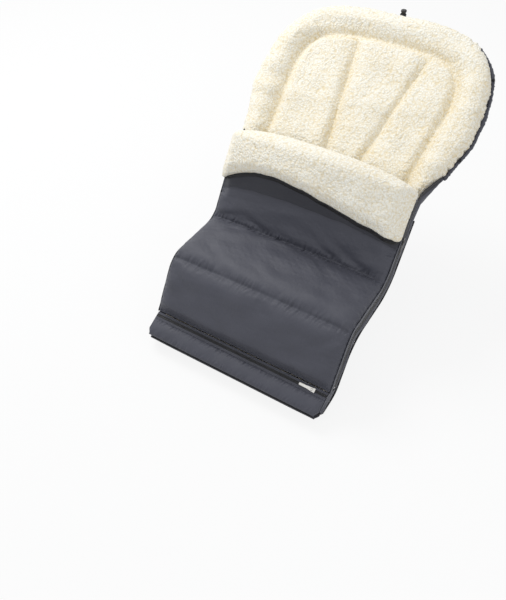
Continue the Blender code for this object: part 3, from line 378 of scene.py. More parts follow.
def finish_with(piece, material):
    piece.data.materials.clear()
    piece.data.materials.append(material)


def dress(piece, body, material, slot, *stands_for):
    """The last steps of each piece: its finish, the body it rides on and the plain solids it stands for."""
    finish_with(piece, material)
    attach(piece, body)
    if stands_for:
        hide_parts(*stands_for)
    print(piece.name, len(piece.data.polygons), "faces")


# %% [markdown]
# A material is a small network, and writing each node out takes many lines. These helpers add a node with its
# values, a group with its sockets, a mix of two colours and one step of arithmetic. Where a socket is given
# they link it, and where a number is given they set it.

# %% Node helpers


def node(tree, kind, values=(), **settings):
    made = tree.nodes.new(kind)
    for key, value in settings.items():
        setattr(made, key, value)
    for key, value in dict(values).items():
        made.inputs[key].default_value = value
    return made


def new_group(name, inputs, outputs):
    group = bpy.data.node_groups.new(name, "ShaderNodeTree")
    for word, kind, start in inputs:
        socket = group.interface.new_socket(name=word, in_out="INPUT", socket_type="NodeSocket" + kind)
        socket.default_value = start
    for word, kind in outputs:
        group.interface.new_socket(name=word, in_out="OUTPUT", socket_type="NodeSocket" + kind)
    return group, group.nodes.new("NodeGroupInput"), group.nodes.new("NodeGroupOutput")


def feed(tree, node_made, *values):
    """Links or sets some inputs of a node, each given as its number and a socket or plain value."""
    for place, value in values:
        if isinstance(value, bpy.types.NodeSocket):
            tree.links.new(value, node_made.inputs[place])
        else:
            node_made.inputs[place].default_value = value


def blend_colours(tree, factor, first, second):
    made = node(tree, "ShaderNodeMix", data_type="RGBA")
    feed(tree, made, (0, factor), (6, first), (7, second))
    return made.outputs[2]


def maths(tree, what, *values):
    """One step of arithmetic on one, two or three values."""
    made = node(tree, "ShaderNodeMath", operation=what)
    feed(tree, made, *enumerate(values))
    return made.outputs[0]


def start_material(name, roughness, metallic=0.0):
    made = bpy.data.materials.new(name)
    made.use_nodes = True
    shader = made.node_tree.nodes["Principled BSDF"]
    shader.inputs["Roughness"].default_value = roughness
    shader.inputs["Metallic"].default_value = metallic
    return made, made.node_tree, shader


def add_bump(tree, shader, height, strength, distance):
    raised = node(tree, "ShaderNodeBump", {"Strength": strength, "Distance": distance})
    tree.links.new(height, raised.inputs["Height"])
    tree.links.new(raised.outputs[0], shader.inputs["Normal"])


print("node helpers ready")

# %% [markdown]
# The shell is a plain weave: each thread passes over one crossing thread and under the next. Two sine waves
# on the flat cut are the threads, and a checker of ones and noughts says which of them lies on top. Slow
# noise makes one area a little paler than the next, as handling does. Cloths and tapes share this one
# group, and each feeds its height through a Bump node of its own, because the shader stays in the material.

# %% Weave


def weave_group():
    group, given, out = new_group(
        "woven_cloth",
        [("Cloth", "Vector", (0, 0, 0)), ("Place", "Vector", (0, 0, 0)),
         ("Colour", "Color", (0.1, 0.1, 0.1, 1)), ("Threads per metre", "Float", 1400.0),
         ("Unevenness", "Float", 0.1)],
        [("Colour", "Color"), ("Height", "Float"), ("Roughness", "Float")])
    link = group.links.new
    scaled = node(group, "ShaderNodeVectorMath", operation="SCALE")
    link(given.outputs["Cloth"], scaled.inputs[0])
    link(given.outputs["Threads per metre"], scaled.inputs["Scale"])
    parts = node(group, "ShaderNodeSeparateXYZ")
    link(scaled.outputs[0], parts.inputs[0])
    warp, weft = (maths(group, "ABSOLUTE", maths(group, "SINE", maths(group, "MULTIPLY", part, math.pi)))
                  for part in parts.outputs[:2])
    cell = maths(group, "ADD", *(maths(group, "FLOOR", part) for part in parts.outputs[:2]))
    over = maths(group, "ABSOLUTE", maths(group, "MODULO", cell, 2.0))
    threads = maths(group, "ADD", maths(group, "MULTIPLY", warp, over),
                    maths(group, "MULTIPLY", weft, maths(group, "SUBTRACT", 1.0, over)))
    slow = node(group, "ShaderNodeTexNoise", {"Scale": 14.0, "Detail": 4.0, "Roughness": 0.55})
    fine = node(group, "ShaderNodeTexNoise", {"Scale": 420.0, "Detail": 2.0})
    link(given.outputs["Place"], slow.inputs["Vector"])
    link(given.outputs["Place"], fine.inputs["Vector"])
    swing = maths(group, "MULTIPLY", maths(group, "SUBTRACT", slow.outputs[0], 0.5),
                  given.outputs["Unevenness"])
    grain = maths(group, "MULTIPLY", maths(group, "SUBTRACT", fine.outputs[0], 0.5),
                  maths(group, "MULTIPLY", given.outputs["Unevenness"], 0.9))
    level = maths(group, "ADD", maths(group, "ADD", 1.0, swing), grain)
    tint = node(group, "ShaderNodeVectorMath", operation="SCALE")
    link(given.outputs["Colour"], tint.inputs[0])
    link(level, tint.inputs["Scale"])
    link(tint.outputs[0], out.inputs["Colour"])
    link(maths(group, "ADD", threads, maths(group, "MULTIPLY", fine.outputs[0], 0.5)), out.inputs["Height"])
    link(maths(group, "ADD", 0.5, maths(group, "MULTIPLY", slow.outputs[0], 0.2)), out.inputs["Roughness"])
    return group


WEAVE = weave_group()


def woven(name, colour, threads, unevenness, bumpiness, sheen, roughness=None):
    """A woven cloth or tape that follows the flat cut kept on each piece."""
    made, tree, shader = start_material(name, 0.6)
    cloth = node(tree, "ShaderNodeUVMap", uv_map="cloth")
    place = node(tree, "ShaderNodeTexCoord")
    weave = node(tree, "ShaderNodeGroup", node_tree=WEAVE)
    feed(tree, weave, ("Cloth", cloth.outputs[0]), ("Place", place.outputs["Object"]), ("Colour", colour),
         ("Threads per metre", threads), ("Unevenness", unevenness))
    shine = weave.outputs["Roughness"] if roughness is None else roughness
    feed(tree, shader, ("Base Color", weave.outputs["Colour"]), ("Roughness", shine), ("Sheen Weight", sheen),
         ("Sheen Roughness", 0.4))
    add_bump(tree, shader, weave.outputs["Height"], bumpiness, 0.0004)
    return made


shell_cloth = woven("slate_shell_cloth", (0.051, 0.053, 0.071, 1), 1500.0, 0.16, 0.25, 0.10)
# The cuff's outer cloth and the hem under its rim: the slate shell cloth made far darker, as painted shade
# from the cuff.
cuff_shade_cloth = woven("slate_cloth_darkened_as_shade", (0.014, 0.015, 0.024, 1), 1500.0, 0.16, 0.25, 0.06)
tape_cloth = woven("black_tape", (0.008, 0.008, 0.011, 1), 900.0, 0.25, 0.5, 0.03, 0.75)
slate_tape = woven("slate_tape", (0.034, 0.035, 0.047, 1), 1100.0, 0.20, 0.4, 0.05, 0.75)
print("woven:", [made.name for made in (shell_cloth, cuff_shade_cloth, tape_cloth, slate_tape)])

# %% [markdown]
# The fleece's curls are too small and too many to model, so they are a finish. Rounded cells give the curls,
# a bent coordinate keeps them from looking like pebbles, and fine noise gives the single hairs. The tips keep
# the pile's pale colour, and the dips between curls and the depth stored on each point mix in the darker,
# warmer root colour as painted shade.

# %% Curls


def fleece_group():
    group, given, out = new_group(
        "curly_fleece",
        [("Place", "Vector", (0, 0, 0)), ("Depth", "Float", 0.0), ("Tips", "Color", (0.9, 0.87, 0.75, 1)),
         ("Roots", "Color", (0.7, 0.55, 0.3, 1))],
        [("Colour", "Color"), ("Height", "Float")])
    link = group.links.new
    sway = node(group, "ShaderNodeTexNoise", {"Scale": 90.0, "Detail": 2.0})
    link(given.outputs["Place"], sway.inputs["Vector"])
    shifted = node(group, "ShaderNodeVectorMath", {"Scale": 0.006}, operation="SCALE")
    link(sway.outputs["Color"], shifted.inputs[0])
    bent = node(group, "ShaderNodeVectorMath", operation="ADD")
    link(given.outputs["Place"], bent.inputs[0])
    link(shifted.outputs[0], bent.inputs[1])
    curls = node(group, "ShaderNodeTexVoronoi", {"Scale": 230.0, "Smoothness": 0.35}, feature="SMOOTH_F1")
    wisps = node(group, "ShaderNodeTexNoise", {"Scale": 700.0, "Detail": 3.0, "Roughness": 0.6})
    patch = node(group, "ShaderNodeTexNoise", {"Scale": 16.0, "Detail": 3.0})
    for texture in (curls, wisps, patch):
        link(bent.outputs[0], texture.inputs["Vector"])
    curl = maths(group, "SUBTRACT", 1.0, maths(group, "MULTIPLY", curls.outputs["Distance"], 1.35))
    height = maths(group, "ADD", curl, maths(group, "MULTIPLY", wisps.outputs[0], 0.45))
    # Painted shade: the dips between curls and the stored depth pull the colour towards the darker roots.
    crevice_shade = maths(group, "SUBTRACT", 1.0, maths(group, "SMOOTH_MIN", curl, 1.0, 0.1))
    shadowed = maths(group, "ADD", maths(group, "MULTIPLY", crevice_shade, 0.75),
                     maths(group, "MULTIPLY", given.outputs["Depth"], 0.62))
    patchy = maths(group, "ADD", maths(group, "SUBTRACT", shadowed, 0.29),
                   maths(group, "MULTIPLY", maths(group, "SUBTRACT", patch.outputs[0], 0.5), 0.4))
    amount = node(group, "ShaderNodeClamp")
    link(patchy, amount.inputs[0])
    link(blend_colours(group, amount.outputs[0], given.outputs["Tips"], given.outputs["Roots"]),
         out.inputs["Colour"])
    link(height, out.inputs["Height"])
    return group


CURLS = fleece_group()


def curly(name, tips, roots):
    """Fleece whose curls are paler at their tips than at their roots."""
    made, tree, shader = start_material(name, 0.95)
    place = node(tree, "ShaderNodeTexCoord")
    depth = node(tree, "ShaderNodeAttribute", attribute_name="pile_shade_depth")
    curls = node(tree, "ShaderNodeGroup", node_tree=CURLS)
    feed(tree, curls, ("Place", place.outputs["Object"]), ("Depth", depth.outputs["Fac"]), ("Tips", tips),
         ("Roots", roots))
    feed(tree, shader, ("Base Color", curls.outputs["Colour"]), ("Sheen Weight", 0.25),
         ("Sheen Roughness", 0.6), ("Specular IOR Level", 0.2))
    add_bump(tree, shader, curls.outputs["Height"], 0.8, 0.0016)
    return made


# The roots' darker ochre is painted shade for the pile's creases; the tips are its own pale colour.
fleece = curly("cream_fleece", (0.985, 0.968, 0.885, 1), (0.80, 0.66, 0.40, 1))
print("pile:", fleece.name)

# %% [markdown]
# The floor is a plain white sheet that keeps the footmuff's shadow. It looks white to the camera because
# part of its light is its own, and only for the camera, so no extra light reaches the cloth.
# A large soft lamp stands at the upper left, as a studio's window would, and a weaker one fills the right.

# %% Floor and light
LOWEST, LAMPS_LOOK_AT = -0.0814, (0.0, 0.1, 0.15)


def only_for_the_picture(tree):
    """1 for rays that make up the picture and its reflections, 0 for rays that light other things."""
    path = node(tree, "ShaderNodeLightPath")
    seen = maths(tree, "MAXIMUM", path.outputs["Is Camera Ray"], path.outputs["Is Glossy Ray"])
    return maths(tree, "MAXIMUM", seen, path.outputs["Is Transmission Ray"])


def mix_into(tree, ending, factor, first, second):
    """Mixes two shaders into a network's last node."""
    mix = node(tree, "ShaderNodeMixShader")
    feed(tree, mix, (0, factor), (1, first.outputs[0]), (2, second.outputs[0]))
    tree.links.new(mix.outputs[0], tree.nodes[ending].inputs["Surface"])


def white_floor():
    made, tree, shader = start_material("white_floor", 0.9)
    shader.inputs["Base Color"].default_value = (0.80, 0.80, 0.80, 1)
    glow = node(tree, "ShaderNodeEmission", {"Color": (1, 1, 1, 1), "Strength": 1.0})
    mix_into(tree, "Material Output", maths(tree, "MULTIPLY", only_for_the_picture(tree), 0.86), shader, glow)
    return made


bpy.ops.object.select_all(action="DESELECT")
bpy.ops.mesh.primitive_plane_add(size=60, location=(0, 0, LOWEST))
floor = newest("floor")
floor.data.materials.append(white_floor())


def light_the_room():
    world = bpy.data.worlds.new("room")
    scene.world = world
    world.use_nodes = True
    tree = world.node_tree
    around = tree.nodes["Background"]
    around.inputs["Color"].default_value = (0.97, 0.985, 1.0, 1)
    around.inputs["Strength"].default_value = 0.64
    white = node(tree, "ShaderNodeBackground", {"Color": (1, 1, 1, 1), "Strength": 1.0})
    mix_into(tree, "World Output", only_for_the_picture(tree), around, white)


def soft_lamp(name, place, size, power):
    bpy.ops.object.light_add(type="AREA", location=place)
    lamp = bpy.context.object
    lamp.name = name
    lamp.data.size, lamp.data.energy = size, power
    aim_at(lamp, place, LAMPS_LOOK_AT)


light_the_room()
soft_lamp("window_lamp", (-1.5, 0.55, 2.1), 1.1, 36.5)
soft_lamp("fill_lamp", (1.9, -1.2, 1.5), 1.6, 8)
print("floor at", LOWEST)

# %% [markdown]
# The head panel's form is written down once as heights over the flat cut: a padded rim outside an arch-shaped
# seam, two channels that run together below, and a fold across. The wool side and the back's outer cloth
# both read it, so that the seams go through at the same places, as sewing does.

# %% The back's form
BACK_HALF, HEAD_HALF = 0.204, 0.248
ARCH_HALF_LOW, ARCH_HALF, ARCH_STRAIGHT, ARCH_TOP, ARCH_POWER = 0.162, 0.180, 0.200, 0.315, 3.3
CHANNEL_HALF_LOW, CHANNEL_HALF_TOP, CHANNEL_ASIDE = 0.033, 0.083, 0.017
RIM_HIGH, PILLOW_HIGH, ARCH_DEEP, CHANNEL_DEEP = 0.012, 0.004, 0.0050, 0.0052
TOP_TURN, SIDE_RAMP, CORNER_TUCK, CORNER_RUN = 84, 0.28, 0.006, 0.012


def head_half(q):
    """Half the head panel's width at a height q above the fold."""
    q = np.asarray(q, dtype=float)
    wide = BACK_HALF + (HEAD_HALF - BACK_HALF) * np.clip(q / HEAD_STRAIGHT, 0, 1)
    rise = np.clip((q - HEAD_STRAIGHT) / (HEAD_LENGTH - HEAD_STRAIGHT), 0, 1)
    return np.where(q <= HEAD_STRAIGHT, wide, HEAD_HALF * (1 - rise**HEAD_POWER) ** (1 / HEAD_POWER))


def head_rise(turn):
    """Heights above the fold that go evenly round the head's outline, for turns from 0 to 90 degrees."""
    return HEAD_STRAIGHT + (HEAD_LENGTH - HEAD_STRAIGHT) * np.sin(np.radians(turn)) ** (2 / HEAD_POWER)


HEAD_ROW = HEAD_ZERO - head_rise(TOP_TURN)


def corner_tuck(s, end):
    """How much narrower a layer gets at the toe's corners."""
    return CORNER_TUCK * smooth((s - end + CORNER_RUN) / CORNER_RUN)


def back_half(s):
    return head_half(HEAD_ZERO - s) - corner_tuck(s, BACK_END)


def eased(s, stops):
    """A value that passes softly from stop to stop, given as (length, value)."""
    value = np.full(np.shape(s), stops[0][1])
    for (a, low), (b, high) in zip(stops, stops[1:]):
        value = np.where(s > a, low + (high - low) * smooth((s - a) / (b - a)), value)
    return value


def back_sag(s):
    """How far the back hangs below its line along the middle."""
    bottom = (RUN_ENDS["thigh"] + RUN_ENDS["knee"]) / 2
    stops = [(HEAD_ZERO - 0.06, 0.004), (HEAD_ZERO + 0.05, 0.030), (bottom, SEAT_SAG),
             (RUN_ENDS["knee"], SEAT_SAG), (RUN_ENDS["heel"], 0.022), (BACK_END, 0.001)]
    return eased(s, stops) * smooth((s - HEAD_ROW) / 0.05)


def sag_across(s, u):
    """The sag at any place on the back: it fades towards both sides, which the gussets hold up."""
    return back_sag(s) * smooth((1 - abs(u)) / SIDE_RAMP)


def arch_distance(x, q):
    """Signed distance outside the arch-shaped seam, negative inside it."""
    half = ARCH_HALF_LOW + (ARCH_HALF - ARCH_HALF_LOW) * np.clip(q / ARCH_STRAIGHT, 0, 1)
    rise = np.clip((q - ARCH_STRAIGHT) / (ARCH_TOP - ARCH_STRAIGHT), 0, None)
    part = np.abs(x) / half
    reach = (part**ARCH_POWER + rise**ARCH_POWER) ** (1 / ARCH_POWER)
    above = (reach - 1) * np.where(part > rise, half, ARCH_TOP - ARCH_STRAIGHT)
    return np.where(q <= ARCH_STRAIGHT, np.abs(x) - half, above)


def channel_distance(x, q):
    """Signed distance outside the two channels, negative between them."""
    half = CHANNEL_HALF_LOW + (CHANNEL_HALF_TOP - CHANNEL_HALF_LOW) * q / ARCH_TOP
    return np.abs(x - CHANNEL_ASIDE) - half


def sewn_lines(x, q, arch_wide, channel_wide):
    """1 along the head panel's seams and 0 away from them."""
    away = arch_distance(x, q)
    channels = bump(channel_distance(x, q), channel_wide) * smooth(-away / 0.01)
    return np.maximum(bump(away, arch_wide), channels)


def head_form(x, s):
    """Height of the head panel's relief: the rim and the pillows up, the seams down, flat below the fold."""
    q = HEAD_ZERO - s
    away, aside = arch_distance(x, q), channel_distance(x, q)
    form = RIM_HIGH * smooth((away + 0.004) / 0.036)
    form = form + PILLOW_HIGH * smooth((-away - 0.002) / 0.018) * plump(abs(aside) / 0.034, 1.7)
    form = form - ARCH_DEEP * bump(away, 0.0080)
    form = form - CHANNEL_DEEP * bump(aside, 0.0092) * smooth(-away / 0.065)
    return form * smooth((q + 0.02) / 0.05)


print("head panel", round(2 * HEAD_HALF, 3), "m wide, its top row", round(float(HEAD_ROW), 4), "m along")

# %% [markdown]
# The fleece bulges over the panel's edge and the casing runs round it, so both need to know how far the
# edge is and which way is out. The outline is kept as close points, each a complex number x + q*1j in the
# flat cut, and every point of a piece looks up its nearest one.

# %% The head panel's outline


def head_edge():
    """Places from the left foot over the top to the right foot, and the outward way at each."""
    q = np.concatenate([np.linspace(-0.56, HEAD_STRAIGHT, 500), head_rise(np.linspace(0, TOP_TURN, 150)[1:])])
    side = head_half(q) + 1j * q
    top = np.linspace(side[-1].real, 0, 30)[1:] + 1j * side[-1].imag
    half = np.concatenate([side, top])
    edge = np.concatenate([-half.conjugate(), half[::-1][1:]])
    way = np.gradient(edge)
    return edge, 1j * way / abs(way)


HEAD_EDGE, HEAD_OUT = head_edge()


def from_edge(x, s):
    """Distance inside the back's outline, and the outward way there."""
    at = (x + 1j * (HEAD_ZERO - s)).ravel()
    nearest = np.concatenate([np.argmin(abs(some[:, None] - HEAD_EDGE[None, :]), axis=1)
                              for some in np.array_split(at, max(1, len(at) // 4000))])
    out = HEAD_OUT[nearest]
    away = np.clip(-((at - HEAD_EDGE[nearest]) * out.conjugate()).real, 0, None)
    return away.reshape(np.shape(x)), out.reshape(np.shape(x))


print("outline of", len(HEAD_EDGE), "points")

# %% [markdown]
# Fleece is a knitted backing with curled pile. Modelling each curl would be far too heavy, so the pile is
# made in two scales: clumps of 4 to 9 mm move the surface itself, and curls of 2 to 4 mm come from the
# finish. How deep each point lies between the clumps is stored on it, and the finish darkens deep places as
# painted shade.

# %% Pile


def chance(i, j, seed):
    """A repeatable number from 0 to 1 for each cell of a grid."""
    return np.modf(abs(np.sin(i * 127.1 + j * 311.7 + seed * 74.7) * 43758.5453))[0]


def clumps(across, along, size, seed):
    """Rounded clumps: 1 on top of each, falling to 0 in the creases between them."""
    a, b = across / size, along / size
    i, j = np.floor(a), np.floor(b)
    near = np.full(np.shape(a), 9.0)
    for di in (-1, 0, 1):
        for dj in (-1, 0, 1):
            beside = i + di + chance(i + di, j + dj, seed) - a
            beyond = j + dj + chance(i + di, j + dj, seed + 1) - b
            near = np.minimum(near, beside**2 + beyond**2)
    return np.sqrt(np.clip(1 - near * 1.1, 0, 1))


def normals_of(piece):
    flat = np.empty(len(piece.data.vertices) * 3, dtype=np.float32)
    piece.data.vertex_normals.foreach_get("vector", flat)
    return flat.reshape(-1, 3)


def raise_pile(piece, across, along, where, tall=0.0026, size=0.0085, seed=3, painted_shade=0.0):
    """Moves points out into clumps and stores the depth between them as painted shade; the last argument adds
    more painted shade where it is given, such as seam valleys.
    """
    wander = [0.0022 * waves(across, along, (0.012, 0.03), seed + k) for k in (0, 7)]
    across, along = across + wander[0], along + wander[1]
    heap = 0.62 * clumps(across, along * 0.8, size, seed)
    heap = heap + 0.38 * clumps(across, along, size * 0.52, seed + 11)
    patches = 0.5 + 0.5 * waves(across, along, (0.05, 0.13), seed + 20)
    move_points(piece, points_of(piece) + normals_of(piece) * (where * tall * (heap - 0.35))[:, None])
    depth = piece.data.attributes.new("pile_shade_depth", "FLOAT", "POINT")
    # Painted shade: deeper between clumps, by an amount that varies in patches, plus what the last argument
    # adds.
    value = np.clip((1 - heap) * (0.45 + 0.55 * patches) + painted_shade, 0, 1.5)
    depth.data.foreach_set("value", np.broadcast_to(value, across.shape).astype(np.float32))


print("pile ready")

# %% [markdown]
# The head panel is a pad: its upper layer is the fleece, and its lower layer rests on the outer cloth.
# Each of its faces is cut into nine, so that there are points enough for the pile. The fleece rolls over the
# panel's top and left edge and hides the cord casing there, fuller just above the cuff, where the back's half
# of the left zip ends behind it. At the right it is cut shorter and tufted, and the casing shows beside
# the wool.

# %% Head panel of fleece
HEAD_PANEL_LOW = HEAD_ZERO + 0.040
PAD_HIGH, PAD_LOW, ROLL_OVER, TUFT = 0.0133, 0.0018, 0.0052, 0.0022


def back_lengths(b):
    """Rows from the top of the head down to the end of its panel, spaced evenly round the outline."""
    q = np.concatenate([head_rise(np.linspace(TOP_TURN, 0, 60)),
                        np.linspace(HEAD_STRAIGHT, HEAD_ZERO - HEAD_PANEL_LOW, 60)[1:]])
    outline = head_half(q) + 1j * q
    run = np.concatenate([[0], np.cumsum(abs(np.diff(outline)))])
    even = 0.25 * run / run[-1] + 0.75 * (q[0] - q) / (q[0] - q[-1])
    return HEAD_ZERO - np.interp(b, even, q)


head_fleece, u, b, upper = cut_pad("head_fleece", 86, 84, 2)
s = back_lengths(1 - b)
x = u * back_half(s)
q = HEAD_ZERO - s
away = arch_distance(x, q)
inside, out = from_edge(x, s)
inside = np.minimum(inside, np.where(s > HEAD_ZERO - HEAD_STRAIGHT, (1 - abs(u)) * back_half(s), 1.0))
level = EDGE_THICK + (PAD_HIGH + head_form(x, s)) * plump(inside / 0.034, 2.1)
cross = 0.0035 * bump(q - 0.159 - 0.11 * x, 0.020) * smooth(-away / 0.02)
rim_rolls = 0.0022 * waves(x * 0.25, s, (0.03, 0.06), 41) * smooth(away / 0.02)
puffs = 0.0022 * waves(x, s * 0.8, (0.045, 0.09), 47) * smooth(-away / 0.03)
level = level + (cross + rim_rolls + puffs + 0.0012 * waves(x, s, (0.05, 0.12), 5)) * plump(inside / 0.05)

left_roll = (ROLL_OVER + ROLL_OVER * smooth((0.08 - q) / 0.05)) * smooth((q + 0.004) / 0.02)
right_roll = ROLL_OVER * smooth((q - 0.06) / 0.05)
rolled = bump(inside, 0.011) * np.where(x < 0, left_roll, right_roll)
rolled = rolled * (1 - 0.92 * smooth((out.real - 0.35) / 0.45))
rolled = rolled * (1 + 0.25 * waves(x * 3, s * 3, (0.03, 0.08), 9))
tufts = TUFT * waves(x * 3, s * 3, (0.02, 0.05), 12) * bump(inside, 0.007)
rolled = rolled + tufts * smooth((out.real - 0.2) / 0.3) * smooth((q - 0.03) / 0.03)

sag = sag_across(s, u)
top_places = lay(back_line, x + out.real * rolled, s - out.imag * rolled, level - EDGE_THICK - sag)
low_places = lay(back_line, x, s, PAD_LOW - EDGE_THICK - sag)
lay_down(head_fleece, np.where(upper[:, None] > 0.5, top_places, low_places), x, s)
# Painted shade: the pile is darkened towards its roots along the seams, below the panel's top and towards its
# right.
shade_there = 0.10 * smooth((0.33 - q) / 0.1) + 0.08 * smooth((x - 0.02) / 0.2)
raise_pile(head_fleece, x, s, upper, painted_shade=0.42 * sewn_lines(x, q, 0.014, 0.013) + shade_there, seed=3)
shade(head_fleece, 80)
dress(head_fleece, "back", fleece, "fleece", "back_lining")

# %% [markdown]
# Below the cuff the same fleece lines the seat and the shins. It is a pad of its own, sewn on across the
# back. A seam crosses it at the knee, and it narrows towards the toe, where the boots stand.

# %% Seat fleece
SEAT_PANEL_TOP = HEAD_PANEL_LOW + 0.0006

seat_fleece, u, b, upper = cut_pad("seat_fleece", 58, 66, 2)
s = SEAT_PANEL_TOP + (BACK_END - 0.0030 - SEAT_PANEL_TOP) * (1 - b)
past, from_knee = s - BACK_END, s - RUN_ENDS["knee"]
x = u * (back_half(s) - 0.0060 * smooth((past + 0.045) / 0.035) - 0.012 * smooth((past + 0.022) / 0.012))
inside = (1 - abs(u)) * back_half(s)
ends = smooth((BACK_END - s) / 0.05)
seam_in = plump(inside / 0.03)
level = EDGE_THICK + PAD_HIGH * plump(inside / 0.032, 2.1) * ends
level = level - 0.004 * bump(s - SEAT_PANEL_TOP, 0.008) * seam_in - 0.005 * bump(from_knee, 0.009) * seam_in
level = level + 0.0015 * waves(x, s, (0.05, 0.12), 15) * plump(inside / 0.04) * ends
height = np.where(upper > 0.5, level, PAD_LOW) - EDGE_THICK - sag_across(s, u)
lay_down(seat_fleece, lay(back_line, x, s, height), x, s)
# Painted shade: the pile is darkened towards its roots in the valley of the knee seam.
raise_pile(seat_fleece, x, s, upper * smooth((1 - abs(u)) / 0.03) * smooth((BACK_END - s) / 0.02),
           painted_shade=0.35 * bump(from_knee, 0.012), seed=63)
shade(seat_fleece, 80)
print("seat fleece", round(float(BACK_END - SEAT_PANEL_TOP), 3), "m long")

# %% [markdown]
# The pushchair's harness comes through the back: two slots for the shoulders, two for the waist and an
# upright one between the legs. Each is a clean cut through fleece and cloth, so a boolean with a plain box
# makes it. The places are written down once, because the outer cloth and the bindings need them too.

# %% Harness slots
SLOT_WIDE, SLOT_LEVEL, SLOT_UPRIGHT, THROUGH = 0.0492, 0.0192, 0.0212, 0.12
SIDES = (("left", -1), ("right", 1))


def slot_places():
    """Name, x, length along the back, and whether the slot is cut level or upright."""
    torso = RUN_ENDS["torso"]
    places = []
    for word, side in SIDES:
        places.append(("shoulder_slot_binding_" + word, side * 0.062, torso + 0.040, "level"))
        places.append(("waist_slot_binding_" + word, side * 0.095, torso + 0.108, "level"))
    return places + [("crotch_slot_binding", 0.0, RUN_ENDS["thigh"] + 0.012, "upright")]


def slot_centre(at, s_at, height):
    return lay(back_line, at, s_at, height - EDGE_THICK - sag_across(np.array(s_at), at / BACK_HALF))


def cut_slots(piece):
    """Cuts the slots through a layer with boxes that are a little larger than their bindings."""
    for _, at, s_at, way in slot_places():
        size = (SLOT_WIDE, THROUGH, SLOT_LEVEL) if way == "level" else (SLOT_WIDE, SLOT_UPRIGHT, THROUGH)
        cut_away(piece, plain_box("slot", size, tuple(slot_centre(at, s_at, 0.012))))


cut_slots(seat_fleece)
dress(seat_fleece, "back", fleece, "fleece", "back_wadding")

# %% [markdown]
# The outer cloth of the back is one sheet stretched over the wadding. Where the footmuff rests on a seat it
# is flat. Behind the head and the shins it puffs out a little between the sewn lines.

# %% Outer cloth of the back
CLOTH_THICK = 0.0015
back_cloth, u, b, upper = cut_pad("back_cloth", 120, 240)
s = HEAD_ROW + (BACK_END - HEAD_ROW) * (1 - b)
x = u * back_half(s)
q = HEAD_ZERO - s
inside = (1 - abs(u)) * back_half(s)
rim = plump(inside / 0.025) * smooth((s - HEAD_ROW) / 0.02) * smooth((BACK_END - s) / 0.03)
free = smooth((q - 0.01) / 0.04) + 0.6 * smooth((s - RUN_ENDS["knee"] - 0.03) / 0.03)
puff = 0.0042 * (1 - sewn_lines(x, q, 0.012, 0.011)) + 0.0007 * waves(x, s * 1.6, (0.012, 0.04), 77)
height = np.where(upper > 0.5, CLOTH_THICK, 0.0) - EDGE_THICK - sag_across(s, u) - puff * rim * free
lay_down(back_cloth, lay(back_line, x, s, height), x, s)
shade(back_cloth, 60)
cut_slots(back_cloth)
dress(back_cloth, "back", shell_cloth, "shell_cloth", "back_shell")

# %% [markdown]
# The front cover is quilted: cloth and lining are sewn together through the wadding along lines across it.
# Between two lines the wadding lifts the cloth. The heights are written as functions of the place on the
# cloth, because the cuff, the lining and the cuff's own cloth all lie on this face and read it too.

# %% Form of the cover
COVER_HALF, SIDE_SEAM, WADDING, DOME, DOME_AT_FOLD = 0.2055, 0.14, 0.010, 0.008, 0.026
CUFF_LENGTH, CUFF_LIFT, CUFF_BOW, BAND_BOW, BAND_END = 0.095, 0.0016, 0.036, 0.018, 0.118


def bowed(u):
    """1 in the middle of the cuff and 0 at its sides, because its lower edge bows up."""
    return 1 - np.clip(np.abs(u), 0, 1) ** 2.5


def cuff_end(u):
    """How far down the cover the cuff and the hem under it, darkened as painted shade, hide it."""
    return BAND_END - BAND_BOW * bowed(u)


def filled(u):
    """1 where the wadding is full, falling to 0 at the side seams."""
    return smooth((1 - abs(u)) / SIDE_SEAM)


def to_seam(s):
    """Distance from the nearest sewn line below the cuff."""
    return np.min([abs(s - seam) for seam in QUILT_SEAMS[1:]], axis=0)


def quilt(s):
    """0 on a quilt line and 1 over the pillow between two; the first pillow is full up to the fold."""
    value = np.zeros(np.shape(s))
    for a, b in zip(QUILT_SEAMS, QUILT_SEAMS[1:]):
        t = 2 * (s - a) / (b - a) - 1
        full = 1 - np.clip(abs(t), 0, 1) ** 3
        value = np.where((s >= a) & (s <= b), np.where((a > 0) | (t > 0), full, 1.0), value)
    return value


def fuller_quilt(s, u):
    """The pillows with tighter sewn lines below the cuff; flat at the foot, where the cover opens."""
    tight = plump(to_seam(s) / 0.034, 2.0)
    full = np.where(s > cuff_end(u), np.maximum(quilt(s), tight), quilt(s))
    return full * smooth((COVER_END - s) / 0.024)


def cover_dome(s):
    """How much the whole cover arches in its middle, most of all at the fold."""
    rise = DOME + DOME_AT_FOLD * (1 - smooth(s / QUILT_SEAMS[1]))
    return rise * smooth((COVER_END - s) / 0.03)


def cover_face(s, u):
    """Height of the cover's outer face above the side line."""
    return cover_dome(s) * (1 - u * u) + 0.013 * quilt(s) * filled(u)


print("quilt lines at", [round(seam, 3) for seam in QUILT_SEAMS])

# %% [markdown]
# Along a sewn line the thread draws the cloth in, and since the cloth is longer than the thread it puckers.
# Where the cloth is pulled askew, a soft crease runs off the line and fades. Puckers are many and alike, so
# waves make them. The creases are few and each has its own place, so they are written down one by one.

